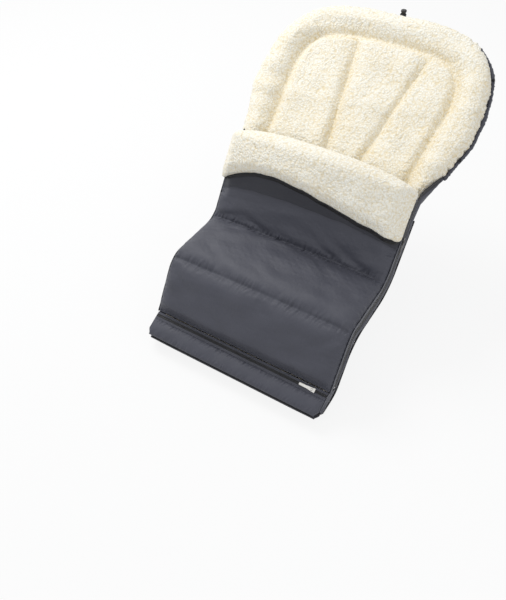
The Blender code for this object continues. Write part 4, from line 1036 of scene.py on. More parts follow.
# %% Creases and puckers
# each crease: its start and end as (x, s) on the flat cut, its width and its depth
CREASES = [
    ((0.165, 0.180), (0.060, 0.128), 0.010, 0.0038), ((0.100, 0.178), (0.020, 0.135), 0.008, 0.0026),
    ((-0.060, 0.182), (-0.150, 0.140), 0.009, 0.0030), ((-0.195, 0.178), (-0.120, 0.150), 0.008, 0.0024),
    ((-0.190, 0.240), (-0.110, 0.192), 0.010, 0.0034), ((0.190, 0.225), (0.110, 0.280), 0.012, 0.0030),
    ((0.040, 0.190), (0.110, 0.235), 0.009, 0.0022), ((-0.080, 0.325), (-0.160, 0.270), 0.011, 0.0032),
    ((0.030, 0.322), (-0.040, 0.285), 0.009, 0.0020), ((0.190, 0.345), (0.120, 0.400), 0.011, 0.0030),
    ((-0.190, 0.350), (-0.120, 0.395), 0.010, 0.0026), ((0.020, 0.345), (0.080, 0.385), 0.009, 0.0022),
    ((-0.030, 0.440), (-0.080, 0.400), 0.009, 0.0022), ((0.130, 0.445), (0.090, 0.405), 0.008, 0.0020)]
PUCKER_FIRST, PUCKER = 0.0018, 0.0013


def drag_lines(x, s):
    """The creases' depth at each place."""
    total = 0
    at = x + 1j * s
    for start, end, width, deep in CREASES:
        a, b = complex(*start), complex(*end)
        t = np.clip(((at - a) * (b - a).conjugate()).real / abs(b - a) ** 2, 0, 1)
        total = total - 1.25 * deep * (1 - t) ** 0.6 * bump(abs(at - a - (b - a) * t), width)
    return total


def puckers(x, s, seams, reach=0.013):
    """Small gathers along sewn lines, strongest close to the thread."""
    total = 0
    for k, seam in enumerate(seams):
        away = s - seam
        wander = x + 0.004 * waves(x, s * 0.6, (0.02, 0.05), 90 + k) + 0.25 * away
        ridge = waves(wander * 2.2, wander * 0.4, (0.010, 0.024), 100 + k, 10)
        total = total + (PUCKER_FIRST if k == 0 else PUCKER) * ridge * bump(abs(away) - 0.0035, reach * 0.55)
    return total


print(len(CREASES), "creases, puckers along", len(QUILT_SEAMS) - 1, "sewn lines")

# %% [markdown]
# The cover's quilt starts as a pad in its rough form. A cloth simulation then blows the pillows up while
# the sewn lines, the sides and all that the cuff covers are held still, because no formula gives the way
# real cloth tightens between seams. It is subdivided once, and the puckers and fine creases are added to
# the outer face.

# %% Front cover
PAST_FOLD, SETTLE_FRAMES = 0.0004, 20


def blow_up(piece, pinned, pressure, excess, cap):
    """Cloth simulation with some points held; excess is how much longer the cloth is than its shape."""
    group = piece.vertex_groups.new(name="sewn")
    for weight in np.unique(pinned):
        if weight > 0:
            group.add([int(i) for i in np.flatnonzero(pinned == weight)], float(weight), "REPLACE")
    before = points_of(piece)
    cloth = piece.modifiers.new("cloth", "CLOTH")
    setting = cloth.settings
    setting.quality, setting.mass = 6, 0.15
    setting.tension_stiffness = setting.compression_stiffness = 18
    setting.bending_stiffness = 0.4
    setting.vertex_group_mass = "sewn"
    setting.use_pressure, setting.uniform_pressure_force = True, pressure
    setting.shrink_min = -excess
    setting.effector_weights.gravity = 0
    cloth.collision_settings.use_collision = False
    cloth.point_cache.frame_start, cloth.point_cache.frame_end = 1, SETTLE_FRAMES
    for frame_number in range(1, SETTLE_FRAMES + 1):
        scene.frame_set(frame_number)
    apply_modifiers(piece)
    scene.frame_set(1)
    moved = points_of(piece) - before
    far = np.linalg.norm(moved, axis=1, keepdims=True)
    move_points(piece, before + moved * np.minimum(1, cap / np.maximum(far, 1e-9)))
    piece.vertex_groups.clear()
    print(piece.name, "blown up by at most", round(float(far.max()) * 1000, 1), "mm")


def subdivide_smoothly(piece):
    finer = piece.modifiers.new("finer", "SUBSURF")
    finer.levels = finer.render_levels = 1
    finer.uv_smooth = "NONE"
    apply_modifiers(piece)


def flat_cut_of(piece):
    """Reads each point's place on the flat cut back from the piece's own UV map."""
    corners = np.empty(len(piece.data.loops), dtype=np.int32)
    piece.data.loops.foreach_get("vertex_index", corners)
    flat = np.empty(len(piece.data.loops) * 2, dtype=np.float32)
    piece.data.uv_layers["cloth"].data.foreach_get("uv", flat)
    at = np.zeros((len(piece.data.vertices), 2))
    at[corners] = flat.reshape(-1, 2)
    return at[:, 0], at[:, 1]


cover_quilt, u, b, upper = cut_pad("cover_quilt", 52, 60, 1)
s = COVER_END * (1 - b) - PAST_FOLD * (b < 0.001)
x = u * COVER_HALF
inside = (1 - abs(u)) * COVER_HALF
below_cuff = smooth((s - cuff_end(u)) / 0.02)
side_full = np.maximum(filled(u), plump(inside / 0.028, 2.0) * below_cuff)
top = cover_dome(s) * (1 - u * u) + 0.0135 * fuller_quilt(s, u) * side_full
uneven = drag_lines(x, s) + 0.0016 * waves(x, s * 1.4, (0.05, 0.11), 31)
top = top + below_cuff * side_full * uneven * plump(to_seam(s) / 0.02)
low = cover_dome(s) * (1 - u * u) - PAD_LOW - 0.003 - WADDING * filled(u)
lay_down(cover_quilt, lay(cover_line, x, s, np.where(upper > 0.5, top, low)), x, s)
sewn = (to_seam(s) < 0.0022) | (inside < 0.003) | (s > COVER_END - 0.010)
held = (upper < 0.5) | sewn | (s < cuff_end(u))
blow_up(cover_quilt, held.astype(float), 3.0, 0.035, 0.006)
subdivide_smoothly(cover_quilt)
x, s = flat_cut_of(cover_quilt)
facing_out = normals_of(cover_quilt)
outward_side = smooth(facing_out[:, 2] * 2.0 + 0.4)
edge_free = plump((COVER_HALF - abs(x)) / 0.012)
below_cuff = smooth((s - cuff_end(x / COVER_HALF)) / 0.02)
fine = (puckers(x, s, QUILT_SEAMS[1:]) + 0.00022 * waves(x, s, (0.006, 0.016), 51)) * edge_free * below_cuff
side_seam = 0.0009 * waves(s * 2.2, s * 0.3, (0.012, 0.026), 57) * bump(COVER_HALF - abs(x) - 0.006, 0.008)
move_points(cover_quilt, points_of(cover_quilt) + facing_out * (outward_side * (fine + side_seam))[:, None])
shade(cover_quilt, 75)
dress(cover_quilt, "cover", shell_cloth, "shell_cloth", "cover_shell", "cover_wadding")

# %% [markdown]
# The cover is lined with the same fleece. It is only seen when the cover is open, so its grid is
# a little coarser than the head panel's. Its lower layer carries the pile, because that side faces the child.

# %% Cover lining
cover_fleece, u, b, upper = cut_pad("cover_fleece", 130, 145)
s = COVER_END * (1 - b) - PAST_FOLD * (b < 0.001)
x = u * COVER_HALF
full = filled(u)
high = cover_dome(s) * (1 - u * u) - 0.0051 - WADDING * full
thick = 0.0022 + 0.0048 * full
lay_down(cover_fleece, lay(cover_line, x, s, np.where(upper > 0.5, high, high - thick)), x, s)
where = (upper < 0.5) * full * smooth((COVER_END - s) / 0.02) * smooth(s / 0.01)
raise_pile(cover_fleece, x, s, where, seed=83)
shade(cover_fleece, 80)
dress(cover_fleece, "cover", fleece, "fleece", "cover_lining")

# %% [markdown]
# The cuff is the cover's top end turned down over itself, so the lining faces out. It is built as one closed
# tube across the cover: up the flap's outer face, round the roll at the fold, down into the cover, back
# along the flap's underside and round its lower edge. First come the lines that this tube follows.

# %% Form of the cuff
CUFF_THIN, CUFF_PAD, CUFF_MORE = 0.0047, 0.0103, 0.010
FOLD_BOW, FOLD_LOW, UNDERSIDE = 0.023, 0.0073, CUFF_LIFT + 0.0018
FLAP, ROLL, WALL, UNDER = 0.44, 0.70, 0.76, 0.93


def cuff_reach(u):
    """How far down the cuff reaches: bowed up, longer at its right half and never quite even."""
    longer = 0.030 * u * (1 - u * u)
    return CUFF_LENGTH - CUFF_BOW * bowed(u) + longer + 0.0010 * waves(u * COVER_HALF, 0, (0.03, 0.09), 69)


def cuff_loft(s, u):
    """Thickness of the cuff's padding and fleece, rounded off towards its lower edge."""
    nose = plump(CUFF_LENGTH * (1 - s / cuff_reach(u)) / 0.034, 2.1)
    return CUFF_THIN + (CUFF_PAD + CUFF_MORE * smooth((1 - abs(u)) / 0.12)) * nose


def cuff_top(s, u):
    """Height of the cuff's outer face above the side line."""
    return CUFF_LIFT + cover_face(s, u) + 0.0021 + cuff_loft(s, u)


def cuff_ring(t, u):
    """Length and height of the cuff's surface at a share t of the way round and a place across.

    The way goes up the flap, round the roll, down the wall in the cover, along the underside and the nose."""
    top, long = cuff_top(0.0, u), cuff_reach(u)
    low = cover_dome(0.0) * (1 - u * u) - FOLD_LOW - 0.0148 * filled(u)
    middle, reach = (top + low) / 2, (top - low) / 2
    base, crown = cover_face(long, u) + UNDERSIDE, cuff_top(long, u)
    down = long * (1 - t / FLAP)
    turn = math.pi * (0.5 - (t - FLAP) / (ROLL - FLAP))
    rise = (t - ROLL) / (WALL - ROLL)
    back = 0.0005 + (long - 0.001) * ((t - WALL) / (UNDER - WALL))
    nose = math.pi * ((t - UNDER) / (1.0 - UNDER))
    parts = [t <= FLAP, t <= ROLL, t <= WALL, t <= UNDER]
    lengths = [down, -0.0005 - (0.006 + FOLD_BOW * (1 - abs(u) ** 3)) * np.cos(turn), -PAST_FOLD, back]
    heights = [cuff_top(down, u), middle + reach * np.sin(turn),
               low + (cover_face(0.0, u) + UNDERSIDE - low) * rise, cover_face(back, u) + UNDERSIDE]
    return (np.select(parts, lengths, long - 0.0005 + 0.0028 * np.sin(nose)),
            np.select(parts, heights, (base + crown) / 2 - (crown - base) / 2 * np.cos(nose)))


print("cuff reaches", [round(float(cuff_reach(np.float64(u))), 3) for u in (-1, 0, 1)], "m down")

# %% [markdown]
# A sheet becomes a tube when its points are laid round a ring, its two long edges are sewn together and its
# ends are filled. The cuff's ends are rounded in towards their core, as a stuffed corner is.

# %% Cuff of fleece


def wrap_round(name, around, rows):
    """A sheet to be laid round: each point's share of the way round (0 to 1) and place along (-1 to 1)."""
    piece = add_grid(name, around, rows)
    flat = points_of(piece)
    return piece, flat[:, 0] + 0.5, flat[:, 1] * 2


def close_tube(piece):
    """Sews the sheet's long edges together and fills its two ends."""
    edit(piece, lambda: bpy.ops.mesh.remove_doubles(threshold=2e-5), pick_none,
         lambda: bpy.ops.mesh.select_non_manifold(), lambda: bpy.ops.mesh.edge_face_add(), pick_all,
         turn_outwards)


turned_cuff, t, u = wrap_round("turned_cuff", 210, 200)
s, h = cuff_ring(t, u)
end = np.clip((abs(u) - 0.955) / 0.045, 0, 1)
rounding = np.sqrt(np.clip(1 - end**2, 0, 1)) * 0.86 + 0.14
roll_core = (cuff_top(0.0, u) + cover_dome(0.0) * (1 - u * u) - FOLD_LOW) / 2
core_h = np.where(s > 0, cover_face(s, u) + 0.010, roll_core)
core_s = np.clip(s, 0.006, cuff_reach(u) - 0.006)
h = core_h + (h - core_h) * rounding
s = core_s + (s - core_s) * rounding
x = u * COVER_HALF + np.sign(u) * 0.0020 * smooth(end)
lying = smooth((s - 0.004) / 0.02) * smooth(t / 0.03) * (t < 0.5)
h = h + (0.0016 * waves(x, s, (0.05, 0.12), 61) - 0.0016 * bump(cuff_reach(u) - s - 0.009, 0.006)) * lying
move_points(turned_cuff, lay(cover_line, x, s, h))
turned = np.where(t <= FLAP, s, np.where(t <= WALL, -(t - FLAP) * 0.22, 0.12 + s))
keep_flat_cut(turned_cuff, x, turned)
close_tube(turned_cuff)
x, turned = flat_cut_of(turned_cuff)
hidden = (turned > 0.115) | (turned < -0.060)
raise_pile(turned_cuff, x, turned, np.where(hidden, 0.0, 1.0), tall=0.0030, size=0.0075, seed=23)
shade(turned_cuff, 80)
fold_start, fold_end = lay(cover_line, 0.0, np.array([-0.012, 0.012]), 0.07)
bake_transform(turned_cuff)
finish_with(turned_cuff, fleece)
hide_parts("fold_roll", "cuff_fleece", "cuff_wadding")
print("cuff of", len(turned_cuff.data.polygons), "faces")

# %% [markdown]
# Tapes, teeth, cords and piping all follow a path, which is kept as close points in space. To place anything
# on it at an even spacing, the distance along it is measured first and the places are read off from that.

# %% Paths


def unit(rows):
    return rows / np.linalg.norm(rows, axis=1, keepdims=True)


def lengths_along(path):
    """The distance from a path's first point to each of its points."""
    return np.concatenate([[0], np.cumsum(np.linalg.norm(np.diff(path, axis=0), axis=1))])


def points_at(path, run, at):
    """Places on a path at some distances, where run holds the distance of each of its own points."""
    return np.stack([np.interp(at, run, path[:, k]) for k in range(3)], -1)


print("the back's middle line is", round(float(lengths_along(lay(back_line, 0.0, np.linspace(
    HEAD_ROW, BACK_END, 200), 0.0))[-1]), 3), "m long")

# %% [markdown]
# The zips have moulded teeth. Each grips the tape with its foot and locks its wider head between two heads of
# the other row. A tooth is modelled once, as a box whose front is extruded into a neck and a head, and copied
# at an even pitch. It has few faces, because there are some two thousand.

# %% Zip teeth
PITCH = 0.0017


def model_tooth():
    """One tooth: a foot on the tape at y = 0, a neck and a wider head towards +y; x runs along the zip."""
    tooth = plain_box("tooth", (0.0010, 0.0022, 0.0020), (0, 0.0011, 0))
    steps = [pick_faces(tooth, lambda centre, normal: normal.y > 0.9)]
    for far, wide, thick in ((0.0005, 0.75, 1.0), (0.0005, 1.75, 1.0), (0.0006, 0.7, 0.8)):
        steps += [extrude(0, far, 0), resize(wide, 1, thick)]
    edit(tooth, *steps)
    places, faces = points_of(tooth), [tuple(face.vertices) for face in tooth.data.polygons]
    bpy.data.objects.remove(tooth, do_unlink=True)
    return places, faces


TOOTH, TOOTH_FACES = model_tooth()


def row_of_teeth(name, path, across, start=0.5):
    """Teeth along a path, the first a part of a pitch from its start; across is the way their heads point."""
    run = lengths_along(path)
    at = np.arange(start * PITCH, run[-1], PITCH)
    way = unit(points_at(path, run, at + 0.0005) - points_at(path, run, at - 0.0005))
    head = points_at(across, np.linspace(0, 1, len(path)), at / run[-1])
    head = unit(head - way * (head * way).sum(1, keepdims=True))
    verts = points_at(path, run, at)[:, None, :]
    for k, direction in enumerate((way, head, np.cross(way, head))):
        verts = verts + TOOTH[None, :, k, None] * direction[:, None, :]
    faces = [tuple(i + k * len(TOOTH) for i in face) for k in range(len(at)) for face in TOOTH_FACES]
    mesh = bpy.data.meshes.new(name)
    mesh.from_pydata(verts.reshape(-1, 3).tolist(), [], faces)
    piece = bpy.data.objects.new(name, mesh)
    scene.collection.objects.link(piece)
    edit(piece, turn_outwards)
    shade(piece, 40)
    return piece


print("a tooth has", len(TOOTH_FACES), "faces")

# %% [markdown]
# Moulded plastic is never quite even: the mould leaves a fine grain and handling polishes it in places.
# Zip metal is plated, and its plating is brushed lightly along the part. Both are made from noise on the
# piece's own coordinates.

# %% Hard finishes


def grained(name, colour, roughness, metallic, grain, stretch=(1, 1, 1)):
    """Plastic or plated metal with a fine grain and slow changes of colour and shine."""
    made, tree, shader = start_material(name, roughness, metallic)
    place = node(tree, "ShaderNodeTexCoord")
    turned = node(tree, "ShaderNodeMapping", {"Scale": stretch})
    tree.links.new(place.outputs["Object"], turned.inputs["Vector"])
    fine = node(tree, "ShaderNodeTexNoise", {"Scale": grain, "Detail": 3.0})
    slow = node(tree, "ShaderNodeTexNoise", {"Scale": grain * 0.06, "Detail": 3.0})
    for texture in (fine, slow):
        tree.links.new(turned.outputs[0], texture.inputs["Vector"])
    low = tuple(c * 0.72 for c in colour[:3]) + (1,)
    tree.links.new(blend_colours(tree, slow.outputs[0], low, colour), shader.inputs["Base Color"])
    spread = maths(tree, "MULTIPLY_ADD", slow.outputs[0], 0.22, roughness - 0.11)
    tree.links.new(spread, shader.inputs["Roughness"])
    add_bump(tree, shader, fine.outputs[0], 0.15, 0.0002)
    return made


black_plastic = grained("black_plastic", (0.018, 0.018, 0.020, 1), 0.38, 0.0, 2600.0)
tooth_plastic = grained("black_teeth", (0.014, 0.014, 0.016, 1), 0.45, 0.0, 2000.0)
bright_nickel = grained("bright_nickel", (0.78, 0.77, 0.74, 1), 0.26, 1.0, 1800.0, (1, 6, 1))
dark_nickel = grained("dark_nickel", (0.13, 0.125, 0.12, 1), 0.34, 1.0, 1800.0, (1, 6, 1))
print("plastic and metal ready")

# %% [markdown]
# Strips such as tapes, gussets and hems are all alike: two edges in space, with cloth of a known thickness
# between them. One function lays each of them, and a little unevenness keeps them from looking like card.

# %% Strips of cloth


def strip(name, first, second, out, thickness, columns, uneven=None):
    """A strip between two rows of points, with its thickness along out; uneven(across, along) lifts it."""
    rows = len(first) - 1
    piece, u, b, upper = cut_pad(name, columns, rows)
    across, row = (u + 1) / 2, np.rint((1 - b) * rows).astype(int)
    out = np.broadcast_to(out, first.shape)
    run = lengths_along((first + second) / 2)
    lift = upper * thickness + (0 if uneven is None else uneven(across, run[row]))
    wide = np.linalg.norm(second - first, axis=1)
    places = first[row] + (second - first)[row] * across[:, None] + out[row] * lift[:, None]
    lay_down(piece, places, across * wide[row], run[row])
    shade(piece, 50)
    return piece


def flat_size(first, second):
    """Width, length and area of a strip before it is sewn in."""
    wide, long = np.linalg.norm(second - first, axis=1), lengths_along((first + second) / 2)[-1]
    return float(wide.max()), long, float(np.mean(wide) * long)


print("strips ready")

# %% [markdown]
# Under the cuff's fleece lies its outer cloth, the slate shell cloth, which shows as a band below the wool
# and is made far darker as painted shade. It reaches a little past the fleece, and its free edge waves
# slightly, because nothing holds it down.

# %% Cuff's outer cloth


def cover_surface(x, s, h):
    """Places at a height h above the cover's outer face."""
    return lay(cover_line, x, s, cover_face(s, np.clip(x / COVER_HALF, -1, 1)) + h)


cuff_cloth, u, b, upper = cut_pad("cuff_cloth", 130, 36)
s = 0.0006 + (cuff_reach(u) + 0.0090) * (1 - b)
x = u * (COVER_HALF - 0.0005)
wavy = 0.0012 * waves(x * 1.5, s * 0.5, (0.03, 0.08), 66) * smooth((s - cuff_reach(u) + 0.010) / 0.02)
places = cover_surface(x, s, CUFF_LIFT + upper * 0.0014 + np.maximum(wavy, -0.0010))
lay_down(cuff_cloth, places, x, s)
shade(cuff_cloth, 60)
cloth_area = 0.411 * float(np.mean(cuff_reach(np.linspace(-1, 1, 401)) + 0.0095))
dress(cuff_cloth, "cuff", cuff_shade_cloth, "shell_cloth", "cuff_facing")

# %% [markdown]
# The cover's zip runs on over the fold, so the turned-down cuff has half a zip round its rim, and its teeth
# make the rim look serrated. The rim is drawn in the flat as a line with two round corners. A flat hem
# lies under it on the cover in the same darkened cloth: partly a real dark band, partly painted shade of the
# cuff.

# %% Cuff's rim
RIM_PAST, RIM_HIGH_UP, RIM_HALF, RIM_CORNER = 0.0058, 0.0052, 0.2064, 0.014


def cuff_rim():
    """The rim of the cuff in the flat: down one side, along its lower edge and up the other side."""
    inner = RIM_HALF - RIM_CORNER
    turn = np.linspace(0, math.pi / 2, 20)
    sides = []
    for side in (1, -1):
        low = cuff_reach(side * inner / COVER_HALF) + RIM_PAST
        down = [(side * RIM_HALF, t) for t in np.linspace(0.012, low - RIM_CORNER, 40)]
        bend = [(side * (inner + RIM_CORNER * math.cos(a)), low - RIM_CORNER + RIM_CORNER * math.sin(a))
                for a in turn]
        sides.append(np.array(down + bend[1:]))
    across = np.linspace(inner, -inner, 160)[1:-1]
    edge = np.stack([across, cuff_reach(across / COVER_HALF) + RIM_PAST], -1)
    return np.concatenate([sides[0], edge, sides[1][::-1]])


rim = cuff_rim()
rim_way = np.gradient(rim, axis=0)
rim_out = unit(np.stack([-rim_way[:, 1], rim_way[:, 0]], -1))
rim_out *= np.sign((rim_out * (rim - (0, 0.05))).sum(1)).mean()


def on_rim(out, high):
    """The rim's line moved outward and up."""
    at = rim + rim_out * out
    return cover_surface(at[:, 0], at[:, 1], CUFF_LIFT + high)


def rim_wave(across, along):
    return 0.0009 * waves(along, across * 0.1, (0.015, 0.05), 68)


cuff_tape = strip("cuff_zip_tape", on_rim(-0.009, RIM_HIGH_UP), on_rim(0.0016, RIM_HIGH_UP - 0.0008),
                  unit(on_rim(0, 0.01) - on_rim(0, 0.0)), 0.0009, 3, rim_wave)
dress(cuff_tape, "cuff", tape_cloth, "black_tape")
edge_line = on_rim(0.0006, RIM_HIGH_UP - 0.0002)
cuff_teeth = row_of_teeth("cuff_zip_teeth", edge_line, on_rim(0.004, RIM_HIGH_UP - 0.0012) - edge_line)
dress(cuff_teeth, "cuff", tooth_plastic, "black_plastic")

hem_x = np.linspace(-0.2045, 0.2045, 140)
hem_dip = 0.0009 * waves(hem_x, 0 * hem_x, (0.03, 0.08), 67)
hem_edges = cuff_reach(hem_x / COVER_HALF) + 0.0015, 0.1108 - BAND_BOW * bowed(hem_x / COVER_HALF)
hem_top, hem_low = (cover_surface(hem_x, t + hem_dip, CUFF_LIFT + 0.0017) for t in hem_edges)
hem_out = cover_surface(hem_x, 0.1 + 0 * hem_x, 0.01) - cover_surface(hem_x, 0.1 + 0 * hem_x, 0.0)
cuff_hem = strip("cuff_hem", hem_top, hem_low, hem_out / 0.01, 0.0012, 6)
# The hem's darkened cloth is painted shade of the cuff on the cover, over a real dark band.
dress(cuff_hem, "cuff", cuff_shade_cloth, "black_tape", "cuff_band")

# %% [markdown]
# A gusset is a narrow side wall of the outer cloth between the back and the cover. It gives the bag its
# depth. Above the cuff it flares out along the head panel. On the left the flare keeps low until it is
# under the cuff, so that the fleece's roll hides it. Its two edges are all that the wall and the zip beside
# it need.

# %% Edges of the gussets
TAPE_IN, CHAIN_MIDDLE, ZIP_DROP = 0.2058, 0.2062, 0.0155
FLARE_RUN, GUSSET_TOP, GUSSET_LOW, GUSSET_HALF = 0.070, 0.0236, -0.006, 0.2043
FLARE_ROWS, FIRST_ROW_LEFT, FIRST_ROW_RIGHT = 29, 27, 4


def gusset_edges(side):
    """Top and bottom rows of a gusset: up along the head panel, beside the seat, and out along the toes."""
    f = np.linspace(0, 1, FLARE_ROWS + 1)[:-1]
    run_top = lay(back_line, 0.0, HEAD_ZERO - FLARE_RUN, -0.001)
    fold_top = lay(cover_line, 0.0, 0.0, -GUSSET_TOP)
    s = HEAD_ZERO - FLARE_RUN * (1 - f)
    wide = back_half(s) + 0.0011
    rise = f**4 if side < 0 else f
    top = run_top + (fold_top - run_top) * rise[:, None]
    top[:, 0] = wide
    low = lay(back_line, wide, s, GUSSET_LOW)
    s = np.linspace(0.020, COVER_END, 170)
    body_top = lay(cover_line, GUSSET_HALF, s, -GUSSET_TOP)
    body_low = lay(back_line, GUSSET_HALF, np.interp(s, COVER_STOPS, BACK_STOPS), GUSSET_LOW)
    f = np.linspace(0.04, 1, 16)
    toe_top = lay(toe_line, GUSSET_HALF, f * (TOE - 0.012), -0.002)
    toe_s = BACK_STOPS[-1] + (BACK_END - 0.014 - BACK_STOPS[-1]) * f
    toe_low = lay(back_line, GUSSET_HALF, toe_s, GUSSET_LOW)
    first, second = np.concatenate([top, body_top, toe_top]), np.concatenate([low, body_low, toe_low])
    return first * (side, 1, 1), second * (side, 1, 1)


def side_path(side, start, x, drop):
    """Points beside the cover at a drop below its side line; without a start they begin on the flare."""
    if start is not None:
        return lay(cover_line, side * x, np.linspace(start, COVER_END - 0.0004, 230), -drop)
    places = lay(cover_line, side * x, np.linspace(0.020, COVER_END - 0.006, 230), -drop)
    rows = slice(FIRST_ROW_LEFT if side < 0 else FIRST_ROW_RIGHT, FLARE_ROWS)
    first, second = (edge[rows] for edge in gusset_edges(side))
    flare = first + unit(second - first) * (drop - GUSSET_TOP) + (side * (x - GUSSET_HALF), 0, 0)
    return np.concatenate([flare, places])


print("gusset flat:", [round(float(size), 4) for size in flat_size(*gusset_edges(1))], "wide, long, area")

# %% [markdown]
# Each side closes with a zip from the cuff down to the toes. The cover's half hangs from the cover's edge
# under a hem, and the back's half stands on the gusset. On the left the back's half starts only under the
# cuff, and on the right it runs up the flare. A small metal stop ends each zip below.

# %% Sides: gussets, tapes and teeth


def side_wall(across, along, seed):
    """How far a gusset puffs out: most in its lower half, and never evenly."""
    puffed = 0.0026 * np.sin(np.clip((across - 0.25) / 0.7, 0, 1) * math.pi)
    creased = 0.0005 * waves(along, across * 0.03, (0.012, 0.03), seed + 3)
    return puffed * (1 + 0.5 * waves(along, across * 0.01, (0.03, 0.09), seed)) + creased * np.clip(
        across * 3 - 0.9, 0, 1)


def side_strip(name, side, start, x, drops, thick):
    """A tape or hem beside the cover, between two drops below its side line."""
    edges = (side_path(side, start, x, drop) for drop in drops)
    return strip(name, *edges, (side, 0, 0), thick, 4,
                 lambda across, along: 0.0003 * waves(along, across * 0.01, (0.02, 0.05), 128 + side))


for word, side in SIDES:
    top, low = gusset_edges(side)
    gusset = strip("gusset_" + word, top, low, (side, 0, 0), 0.0011, 12,
                   lambda across, along: side_wall(across, along, 120 + side))
    dress(gusset, "back", shell_cloth, "shell_cloth", "side_gusset_" + word)

    tape = side_strip("cover_tape_" + word, side, 0.004, TAPE_IN, (0.0010, 0.0145), 0.0007)
    dress(tape, "cover", tape_cloth, "black_tape", "cover_zip_tape_" + word)
    hem = side_strip("cover_hem_" + word, side, 0.006, TAPE_IN + 0.0007, (0.0004, 0.0102), 0.0008)
    dress(hem, "cover", shell_cloth, "shell_cloth")
    tape = side_strip("back_tape_" + word, side, None, TAPE_IN, (0.0165, 0.0299), 0.0007)
    dress(tape, "back", tape_cloth, "black_tape", "back_zip_tape_" + word)

    feet, heads = (side_path(side, 0.008, CHAIN_MIDDLE, drop) for drop in (0.0117, ZIP_DROP))
    teeth = row_of_teeth("cover_teeth_" + word, feet, heads - feet)
    dress(teeth, "cover", tooth_plastic, "black_plastic", "cover_zip_chain_" + word)
    feet, heads = (side_path(side, None, CHAIN_MIDDLE, drop)[:-3] for drop in (0.0193, ZIP_DROP))
    teeth = row_of_teeth("back_teeth_" + word, feet, heads - feet, 1.0)
    dress(teeth, "back", tooth_plastic, "black_plastic", "back_zip_chain_" + word)
    finish_with(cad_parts["zip_end_stop_" + word], bright_nickel)

# %% [markdown]
# Piping is a cord wrapped in a strip of cloth cut on the bias and caught in a seam. It stiffens the edge
# where the gusset meets the back, and the toe's front edge. It is a tube swept along the seam, with fine
# slanting ribs.

# %% Piping


def frames_along(path, up):
    """For each point of a path, two directions square to it: one near up and one beside it."""
    way = unit(np.gradient(path, axis=0))
    beside = unit(np.cross(way, np.broadcast_to(up, path.shape)))
    return np.cross(beside, way), beside


def swept(name, path, up, wide, tall, around, rows, ribs=None):
    """A tube of oval section along a path; ribs(turn, along) adds to its radius."""
    run = lengths_along(path)
    at = np.linspace(0, run[-1], rows + 1)
    even = points_at(path, run, at)
    high, beside = frames_along(even, up)
    piece, t, b = wrap_round(name, around, rows)
    row = np.rint((b + 1) / 2 * rows).astype(int)
    turn = t * 2 * math.pi
    near_end = np.minimum(at[row], run[-1] - at[row])
    closing = np.sqrt(np.clip(1 - (1 - np.clip(near_end / min(wide, tall), 0, 1)) ** 2, 0.02, 1))
    extra = 0 if ribs is None else ribs(turn, at[row])
    out_beside, out_high = (wide * closing + extra) * np.cos(turn), (tall * closing + extra) * np.sin(turn)
    move_points(piece, even[row] + beside[row] * out_beside[:, None] + high[row] * out_high[:, None])
    keep_flat_cut(piece, turn * (wide + tall) / 2, at[row])
    close_tube(piece)
    shade(piece, 60)
    return piece


def bias(turn, along):
    """The ribs of the cloth wrapped round the cord."""
    return 0.00010 * np.sin(turn + along * 2600)


SIDE_CORD, TOE_CORD, PIPING_HALF = 0.0016, 0.0022, 0.2074
for word, side in SIDES:
    s = np.linspace(BACK_STOPS[0], BACK_END - 0.016, 300)
    seam = lay(back_line, side * PIPING_HALF, s, -0.0044)
    piping = swept("piping_" + word, seam, (side, 0, 0), SIDE_CORD, SIDE_CORD, 8, 330, bias)
    dress(piping, "back", tape_cloth, "black_tape", "side_piping_" + word)

toe_tip = TOE_END + TOE_WAY * 0.0025 + 1j * TOE_WAY * TOE_DEPTH
toe_x = np.linspace(-0.194, 0.194, 120)
toe_edge = np.stack([toe_x, np.full(120, toe_tip.real), np.full(120, toe_tip.imag)], -1)
piping = swept("piping_toe", toe_edge, (0, 0, 1), TOE_CORD, TOE_CORD, 10, 200, bias)
dress(piping, "back", tape_cloth, "black_tape", "toe_piping")

# %% [markdown]
# The toe panel is a narrow pillow of the outer cloth below a zip that crosses the foot, so that boots can
# stand out of it when the zip is open. Behind it lies its own strip of fleece.

# %% Toe panel and foot zip
TOE_PAD_START = 0.0159


def toe_half(s):
    return BACK_HALF - corner_tuck(s, TOE)


def toe_filled(s, u):
    """1 where the toe's wadding is full, falling to 0 at its sides and its front."""
    return smooth((1 - abs(u)) / 0.16) * smooth((TOE - s) / 0.035)


toe_panel, u, b, upper = cut_pad("toe_panel", 150, 16, 1)
t = 1 - b
s = TOE_PAD_START + (TOE + 0.0010 - TOE_PAD_START) * t
x = u * toe_half(s)
pillow = plump(np.minimum(t, 1 - t) * 2, 2.0) * plump((1 - abs(u)) / 0.10)
top = 0.0068 * pillow + 0.0010 * waves(x, s, (0.03, 0.08), 140) * pillow
top = top + puckers(x, s, (TOE_PAD_START, TOE), 0.011) * 0.8 * plump((1 - abs(u)) / 0.05)
low = -0.0033 - 0.0065 * toe_filled(s, u)
lay_down(toe_panel, lay(toe_line, x, s, np.where(upper > 0.5, top, low)), x, s)
shade(toe_panel, 70)
dress(toe_panel, "back", shell_cloth, "shell_cloth", "toe_shell", "toe_wadding")

toe_fleece, u, b, upper = cut_pad("toe_fleece", 150, 16)
s = TOE_PAD_START + (TOE - 0.0035 - TOE_PAD_START) * (1 - b)
x = u * (toe_half(s) - 0.0050)
full = toe_filled(s, u)
high = -0.0036 - 0.0065 * full
low = high - 0.0020 - 0.0030 * full
lay_down(toe_fleece, lay(toe_line, x, s, np.where(upper > 0.5, high, low)), x, s)
raise_pile(toe_fleece, x, s, (upper < 0.5) * full, tall=0.0020, seed=143)
shade(toe_fleece, 80)
dress(toe_fleece, "back", fleece, "fleece", "toe_lining")

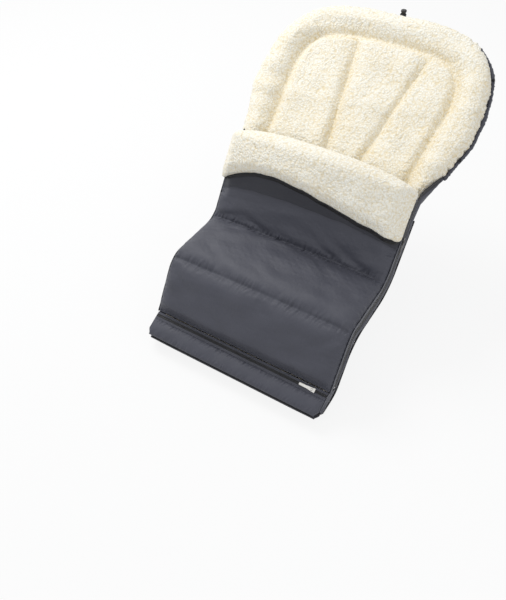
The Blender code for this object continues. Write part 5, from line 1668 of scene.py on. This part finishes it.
# %% [markdown]
# The foot zip lies flat across the toe: two tapes, a hem of the outer cloth along each, and two rows of teeth
# that meet in the middle. Each strip is given by its two distances from the last sewn line of the cover.

# %% Foot zip
FOOT_LEVEL, FOOT_CHAIN = -0.0010, 0.0082
toe_out = np.array((0.0, (-1j * TOE_WAY).real, (-1j * TOE_WAY).imag))
foot_x = np.linspace(-BACK_HALF, BACK_HALF, 150)


def across_foot(s, h=0.0):
    return lay(toe_line, foot_x, np.full(150, s), FOOT_LEVEL + h)


for word, near, far in (("upper", 0.0008, 0.0073), ("lower", 0.0091, 0.0159)):
    edges = (across_foot(s, -0.0004) for s in (near, far))
    tape = strip("foot_tape_" + word, *edges, toe_out, 0.0007, 3)
    dress(tape, "back", slate_tape, "black_tape", "foot_zip_tape_" + word)
for word, near, far in (("upper", 0.0002, 0.0050), ("lower", 0.0112, 0.0166)):
    edges = (across_foot(s, 0.0004) for s in (near, far))
    hem = strip("foot_hem_" + word, *edges, toe_out, 0.0008, 4,
                lambda across, along: 0.0002 * waves(along, across * 0.01, (0.012, 0.04), 147))
    dress(hem, "back", shell_cloth, "shell_cloth")
for word, foot, start in (("upper", 0.0044, 0.5), ("lower", 0.0120, 1.0)):
    heads = across_foot(FOOT_CHAIN) - across_foot(foot)
    teeth = row_of_teeth("foot_teeth_" + word, across_foot(foot), heads, start)
    dress(teeth, "back", tooth_plastic, "black_plastic", "foot_zip_chain_" + word)

# %% [markdown]
# A zip slider is two plates that hold the teeth between them, a wedge that parts them and a bridge that holds
# the pull. It is modelled once with x along the zip and z out of the cloth. The pull is a stamped tab with a
# window that hooks under the bridge, and three low ridges where fingers hold it.

# %% Models of slider and pull
HALF_SLIDER, PULL_LEVEL, WINDOW_END, GRIP_START = 0.0070, 0.00375, 0.0084, 0.0120


def bevel_edges(piece, width):
    edge = piece.modifiers.new("edges", "BEVEL")
    edge.width, edge.segments = width, 2
    edge.limit_method, edge.angle_limit = "ANGLE", math.radians(35)
    apply_modifiers(piece)


def join(name, *pieces):
    bpy.ops.object.select_all(action="DESELECT")
    for piece in pieces:
        piece.select_set(True)
    bpy.context.view_layer.objects.active = pieces[0]
    bpy.ops.object.join()
    return newest(name)


def slider_plate(z):
    """A plate that is wide where the two rows come in and narrower where they leave it closed."""
    plate = plain_box("plate", (0.0140, 0.0092, 0.0014), (0, 0, z))
    edit(plate, pick_faces(plate, lambda centre, normal: normal.x > 0.9), resize(1, 0.74, 1, about=(0, 0, z)),
         pick_faces(plate, lambda centre, normal: normal.x < -0.9), extrude(-0.0008, 0, 0),
         resize(1, 0.62, 0.8, about=(0, 0, z)))
    places = points_of(plate)
    places[:, 0] = np.clip(places[:, 0], -HALF_SLIDER, HALF_SLIDER)
    move_points(plate, places)
    bevel_edges(plate, 0.0004)
    return plate


def model_slider():
    plates = [slider_plate(0.0021), slider_plate(-0.0021)]
    wedge = plain_box("wedge", (0.0034, 0.0008, 0.0030), (-0.0045, 0, 0))
    bpy.ops.object.select_all(action="DESELECT")
    bpy.ops.mesh.primitive_torus_add(major_radius=0.0027, minor_radius=0.00055, major_segments=28,
                                     minor_segments=10, location=(0, 0, 0.0027), rotation=(math.pi / 2, 0, 0))
    bridge = newest("bridge")
    bpy.ops.object.transform_apply(location=True, rotation=True, scale=True)
    edit(bridge, lambda: bpy.ops.mesh.bisect(plane_co=(0, 0, 0.0026), plane_no=(0, 0, 1), clear_inner=True,
                                             use_fill=True), pick_all, resize(1, 2.2, 1))
    return join("slider", plates[0], plates[1], wedge, bridge)


def model_pull():
    """The tab from its hooked end at x = 0, lying flat at the height of the bridge's inside."""
    tab = plain_box("pull", (0.0280, 0.0066, 0.0011), (0.0135, 0, PULL_LEVEL))
    inset = lambda: bpy.ops.mesh.inset(thickness=0.0012, use_individual=True)
    edit(tab, lambda: bpy.ops.mesh.bisect(plane_co=(WINDOW_END, 0, 0), plane_no=(1, 0, 0)),
         pick_faces(tab, lambda centre, normal: abs(normal.z) > 0.9 and centre.x < WINDOW_END),
         inset, lambda: bpy.ops.mesh.bridge_edge_loops(),
         pick_faces(tab, lambda centre, normal: abs(normal.z) > 0.9 and centre.x > GRIP_START), inset)
    places = points_of(tab)
    far = places[:, 0] > 0.0264
    places[:, 1] *= np.where(far, 0.62, 1 - 0.16 * smooth((0.0100 - abs(places[:, 0] - 0.0125)) / 0.01))
    move_points(tab, places)
    bevel_edges(tab, 0.00032)
    return tab


def grip_lines():
    """Three low ridges across the pull's end, where fingers hold it."""
    ridges = []
    for k in range(3):
        ridges.append(plain_box("ridge", (0.0009, 0.0040, 0.0015), (0.0185 + 0.0022 * k, 0, PULL_LEVEL)))
        bevel_edges(ridges[-1], 0.0003)
    return ridges


slider_model = model_slider()
pull_model = join("pull", model_pull(), *grip_lines())
print("slider", len(slider_model.data.polygons), "faces, pull", len(pull_model.data.polygons), "faces")

# %% [markdown]
# Three copies of each model are turned to their zips. A turn needs three directions: along the zip, across it
# and out of the cloth. Each copy gets a mesh of its own, with its place in the mesh, and the models go.

# %% Sliders and pulls in place


def set_in_place(model, name, at, way, across, out):
    """A copy of a model with its own mesh, turned to three directions and moved to a place."""
    piece = model.copy()
    piece.data = model.data.copy()
    piece.name = piece.data.name = name
    scene.collection.objects.link(piece)
    move_points(piece, points_of(piece) @ np.stack([way, across, out]) + at)
    edit(piece, turn_outwards)
    shade(piece, 35)
    return piece


def in_space(turned):
    """A direction of the side view as (x, y, z)."""
    return np.array((0, turned.real, turned.imag))


def hang_slider(word, zip_name, finish, at, *ways):
    """A slider and its pull, each on the body that is called after it."""
    for kind, model in (("slider", slider_model), ("pull", pull_model)):
        body = zip_name.replace("*", kind)
        dress(set_in_place(model, kind + "_" + word, at, *ways), body, finish, "nickel", body)


for word, side in SIDES:
    at = lay(cover_line, side * CHAIN_MIDDLE, 0.093, -ZIP_DROP)
    hang_slider(word, "side_*_" + word, dark_nickel, at, in_space(TORSO_WAY), in_space(-1j * TORSO_WAY),
                np.array((float(side), 0, 0)))
at = lay(toe_line, 0.172, FOOT_CHAIN, FOOT_LEVEL)
hang_slider("foot", "foot_*", bright_nickel, at, np.array((-1.0, 0, 0)), in_space(TOE_WAY), toe_out)
for model in (slider_model, pull_model):
    bpy.data.objects.remove(model, do_unlink=True)

# %% [markdown]
# A drawcord runs round the head panel in a casing, a narrow tube of cloth sewn to the edge. The cord gathers
# the casing, so the casing is ruffled, and at the right it is also drawn in over longer stretches. The cord
# comes out at the top and passes through a sprung lock.

# %% Cord casings and drawcord
WINDOW, FOOT_OF_CASING, CORD_HALF = 0.016, 0.067, 0.0017
edge_x, edge_q = HEAD_EDGE.real, HEAD_EDGE.imag
head_up = in_space(-1j * HEAD_WAY)


def beside_head(keep, out, height):
    """Points outside the head panel's edge, where keep is true."""
    at = (HEAD_EDGE + HEAD_OUT * out)[keep]
    return lay(back_line, at.real, HEAD_ZERO - at.imag, height)


def gathers(side):
    """The ruffles of one casing, as something that swept() can add to its radius."""
    def ruffles(turn, along):
        coarse = 0.0007 * waves(along, np.cos(turn) * 0.004, (0.006, 0.016), 150 + side)
        fine = 0.0003 * waves(along, np.sin(turn) * 0.004, (0.003, 0.007), 155 + side)
        drawn = np.maximum(0.0016 * waves(along, 0 * along, (0.06, 0.14), 160), -0.0002)
        return coarse + fine + (side > 0) * (drawn - 0.0008 * bump(along - 0.42, 0.02))
    return ruffles


for word, side in SIDES:
    keep = (edge_q > FOOT_OF_CASING) & (edge_x * side > WINDOW)
    path = beside_head(keep, 0.0040, -0.0050)
    casing = swept("casing_" + word, path, head_up, 0.0038, 0.0050, 14, 520, gathers(side))
    dress(casing, "back", shell_cloth, "shell_cloth", "cord_casing_" + word)

lock_low, lock_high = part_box("cord_lock_barrel")
lock_at = np.array(((lock_low.x + lock_high.x) / 2, (lock_low.y + lock_high.y) / 2, lock_low.z + 0.0130))
cord_path = beside_head(edge_q > FOOT_OF_CASING, 0.0024, -0.0049)
bow = smooth((WINDOW - abs(cord_path[:, 0])) / (WINDOW - 0.0076))[:, None]
through_lock = np.stack([cord_path[:, 0], np.full(len(bow), lock_at[1]), np.full(len(bow), lock_at[2])], -1)
cord_path = cord_path * (1 - bow) + through_lock * bow


def braid(turn, along):
    return 0.00016 * np.sin(turn * 3 + along * 2400) * np.sin(turn * 3 - along * 2400)


drawcord = swept("braided_cord", cord_path, head_up, CORD_HALF, CORD_HALF, 16, 1500, braid)
dress(drawcord, "back", tape_cloth, "black_tape", "drawcord")

# %% [markdown]
# At the right the cord is tied off in two small knots on top of the casing, which keep the gathers in place.
# A trefoil curve is the path of a simple knot, so each is a tube swept along one.

# %% Cord knots
KNOT_SIZE, KNOT_CORD = 0.0010, 0.0010
turn = np.linspace(0, 2 * math.pi, 80)
trefoil = np.stack([np.sin(turn) + 2 * np.sin(2 * turn), np.cos(turn) - 2 * np.cos(2 * turn),
                    -np.sin(3 * turn)], -1) * KNOT_SIZE
for word, height_up in (("upper", 0.290), ("lower", 0.112)):
    at_edge = (edge_x > 0) & (abs(edge_q - height_up) == abs(edge_q[edge_x > 0] - height_up).min())
    place = beside_head(at_edge, 0.0058, 0.0020)[0]
    path = place + trefoil @ np.stack([(1.0, 0, 0), in_space(HEAD_WAY), head_up])
    knot = swept("cord_knot_" + word, path, head_up, KNOT_CORD, KNOT_CORD, 10, 120)
    dress(knot, "back", tape_cloth, "black_tape")

# %% [markdown]
# The cord lock is a barrel with a bore from above and an eye across it for the cord. In the bore sits a
# button that a spring pushes up. Both are round, so each is a cylinder whose upper face is extruded and
# resized step by step. The frame's coil spring keeps its shape and only gets its finish.

# %% Cord lock


def turned_part(name, radii_and_heights, at):
    """A round part from a cylinder whose upper face is extruded and resized step by step."""
    (radius, low), (_, first) = radii_and_heights[:2]
    bpy.ops.object.select_all(action="DESELECT")
    bpy.ops.mesh.primitive_cylinder_add(vertices=40, radius=radius, depth=first - low,
                                        location=(at[0], at[1], (first + low) / 2))
    piece = newest(name)
    bpy.ops.object.transform_apply(location=True, rotation=False, scale=True)
    for (before, height), (after, higher) in zip(radii_and_heights[1:], radii_and_heights[2:]):
        edit(piece, pick_faces(piece, lambda centre, normal: normal.z > 0.9 and centre.z > height - 0.0001),
             extrude(0, 0, higher - height),
             resize(after / before, after / before, 1, about=(*at[:2], higher)))
    return piece


foot, top = lock_at[2] - 0.0130, lock_at[2] + 0.0110
barrel = turned_part("lock_barrel", [(0.0062, foot), (0.0062, foot + 0.0004), (0.0068, foot + 0.0010),
                                     (0.0068, top - 0.0012), (0.0064, top - 0.0004), (0.0060, top)], lock_at)
bore = turned_part("bore", [(0.0052, foot + 0.0015), (0.0052, top + 0.003)], lock_at)
bpy.ops.object.select_all(action="DESELECT")
bpy.ops.mesh.primitive_cylinder_add(vertices=24, radius=0.0023, depth=0.03, location=tuple(lock_at),
                                    rotation=(0, math.pi / 2, 0))
eye = newest("eye")
bpy.ops.object.transform_apply(location=True, rotation=True, scale=True)
for cutter in (bore, eye):
    cut_away(barrel, cutter)
bevel_edges(barrel, 0.00025)
shade(barrel, 40)
dress(barrel, "back", black_plastic, "black_plastic", "cord_lock_barrel")
cap = top + 0.0040
button = turned_part("lock_button", [(0.0048, top - 0.0053), (0.0048, cap), (0.0062, cap + 0.0001),
                                     (0.0062, cap + 0.0030), (0.0056, cap + 0.0041), (0.0040, cap + 0.0045)],
                     lock_at)
bevel_edges(button, 0.0003)
shade(button, 40)
dress(button, "cord_lock_button", black_plastic, "black_plastic", "cord_lock_button")
finish_with(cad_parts["cord_lock_spring"], bright_nickel)

# %% [markdown]
# Each harness slot is bound with tape, so that its edge doesn't fray and the strap slides easily. The binding
# is a ring of tape that passes through the whole thickness of the back, closed both ways round.

# %% Slot bindings
BINDING_WIDE, BINDING_LEVEL, BINDING_UPRIGHT, RING_STEPS = 0.0240, 0.0088, 0.0098, 96


def slot_binding(stands_for, at, s_at, way):
    """A ring of tape round one slot: a thin oval section led round the slot's rounded outline."""
    tall = BINDING_LEVEL if way == "level" else BINDING_UPRIGHT
    turn = np.linspace(0, 2 * math.pi, RING_STEPS + 1)
    ring = np.stack([np.sign(np.cos(turn)) * abs(np.cos(turn)) ** 0.22 * BINDING_WIDE,
                     np.sign(np.sin(turn)) * abs(np.sin(turn)) ** 0.22 * tall], -1)
    piece, t, b = wrap_round("bound_" + stands_for.replace("_binding", ""), 14, RING_STEPS)
    row = np.rint((b + 1) / 2 * RING_STEPS).astype(int)
    spin = t * 2 * math.pi
    depth = 0.0118 + 0.0132 * np.sin(spin)
    thick = 0.0006 * np.cos(spin) + 0.0012 * abs(np.sin(spin)) ** 6
    dx, dz = (ring[row] + unit(ring)[row] * thick[:, None]).T
    if way == "level":
        offset = np.stack([dx, dz * TORSO_WAY.real / TORSO_WAY.imag - depth / abs(TORSO_WAY.imag), dz], -1)
    else:
        offset = np.stack([dx, dz, depth], -1)
    move_points(piece, slot_centre(at, s_at, 0.0) + offset)
    keep_flat_cut(piece, spin * 0.005, row * 0.0012)
    edit(piece, lambda: bpy.ops.mesh.remove_doubles(threshold=1e-5), turn_outwards)
    shade(piece, 60)
    dress(piece, "back", tape_cloth, "black_tape", stands_for)


for stands_for, at, s_at, way in slot_places():
    slot_binding(stands_for, at, s_at, way)

# %% [markdown]
# Last, everything is deselected.

# %% Sizes
bpy.ops.object.select_all(action="DESELECT")
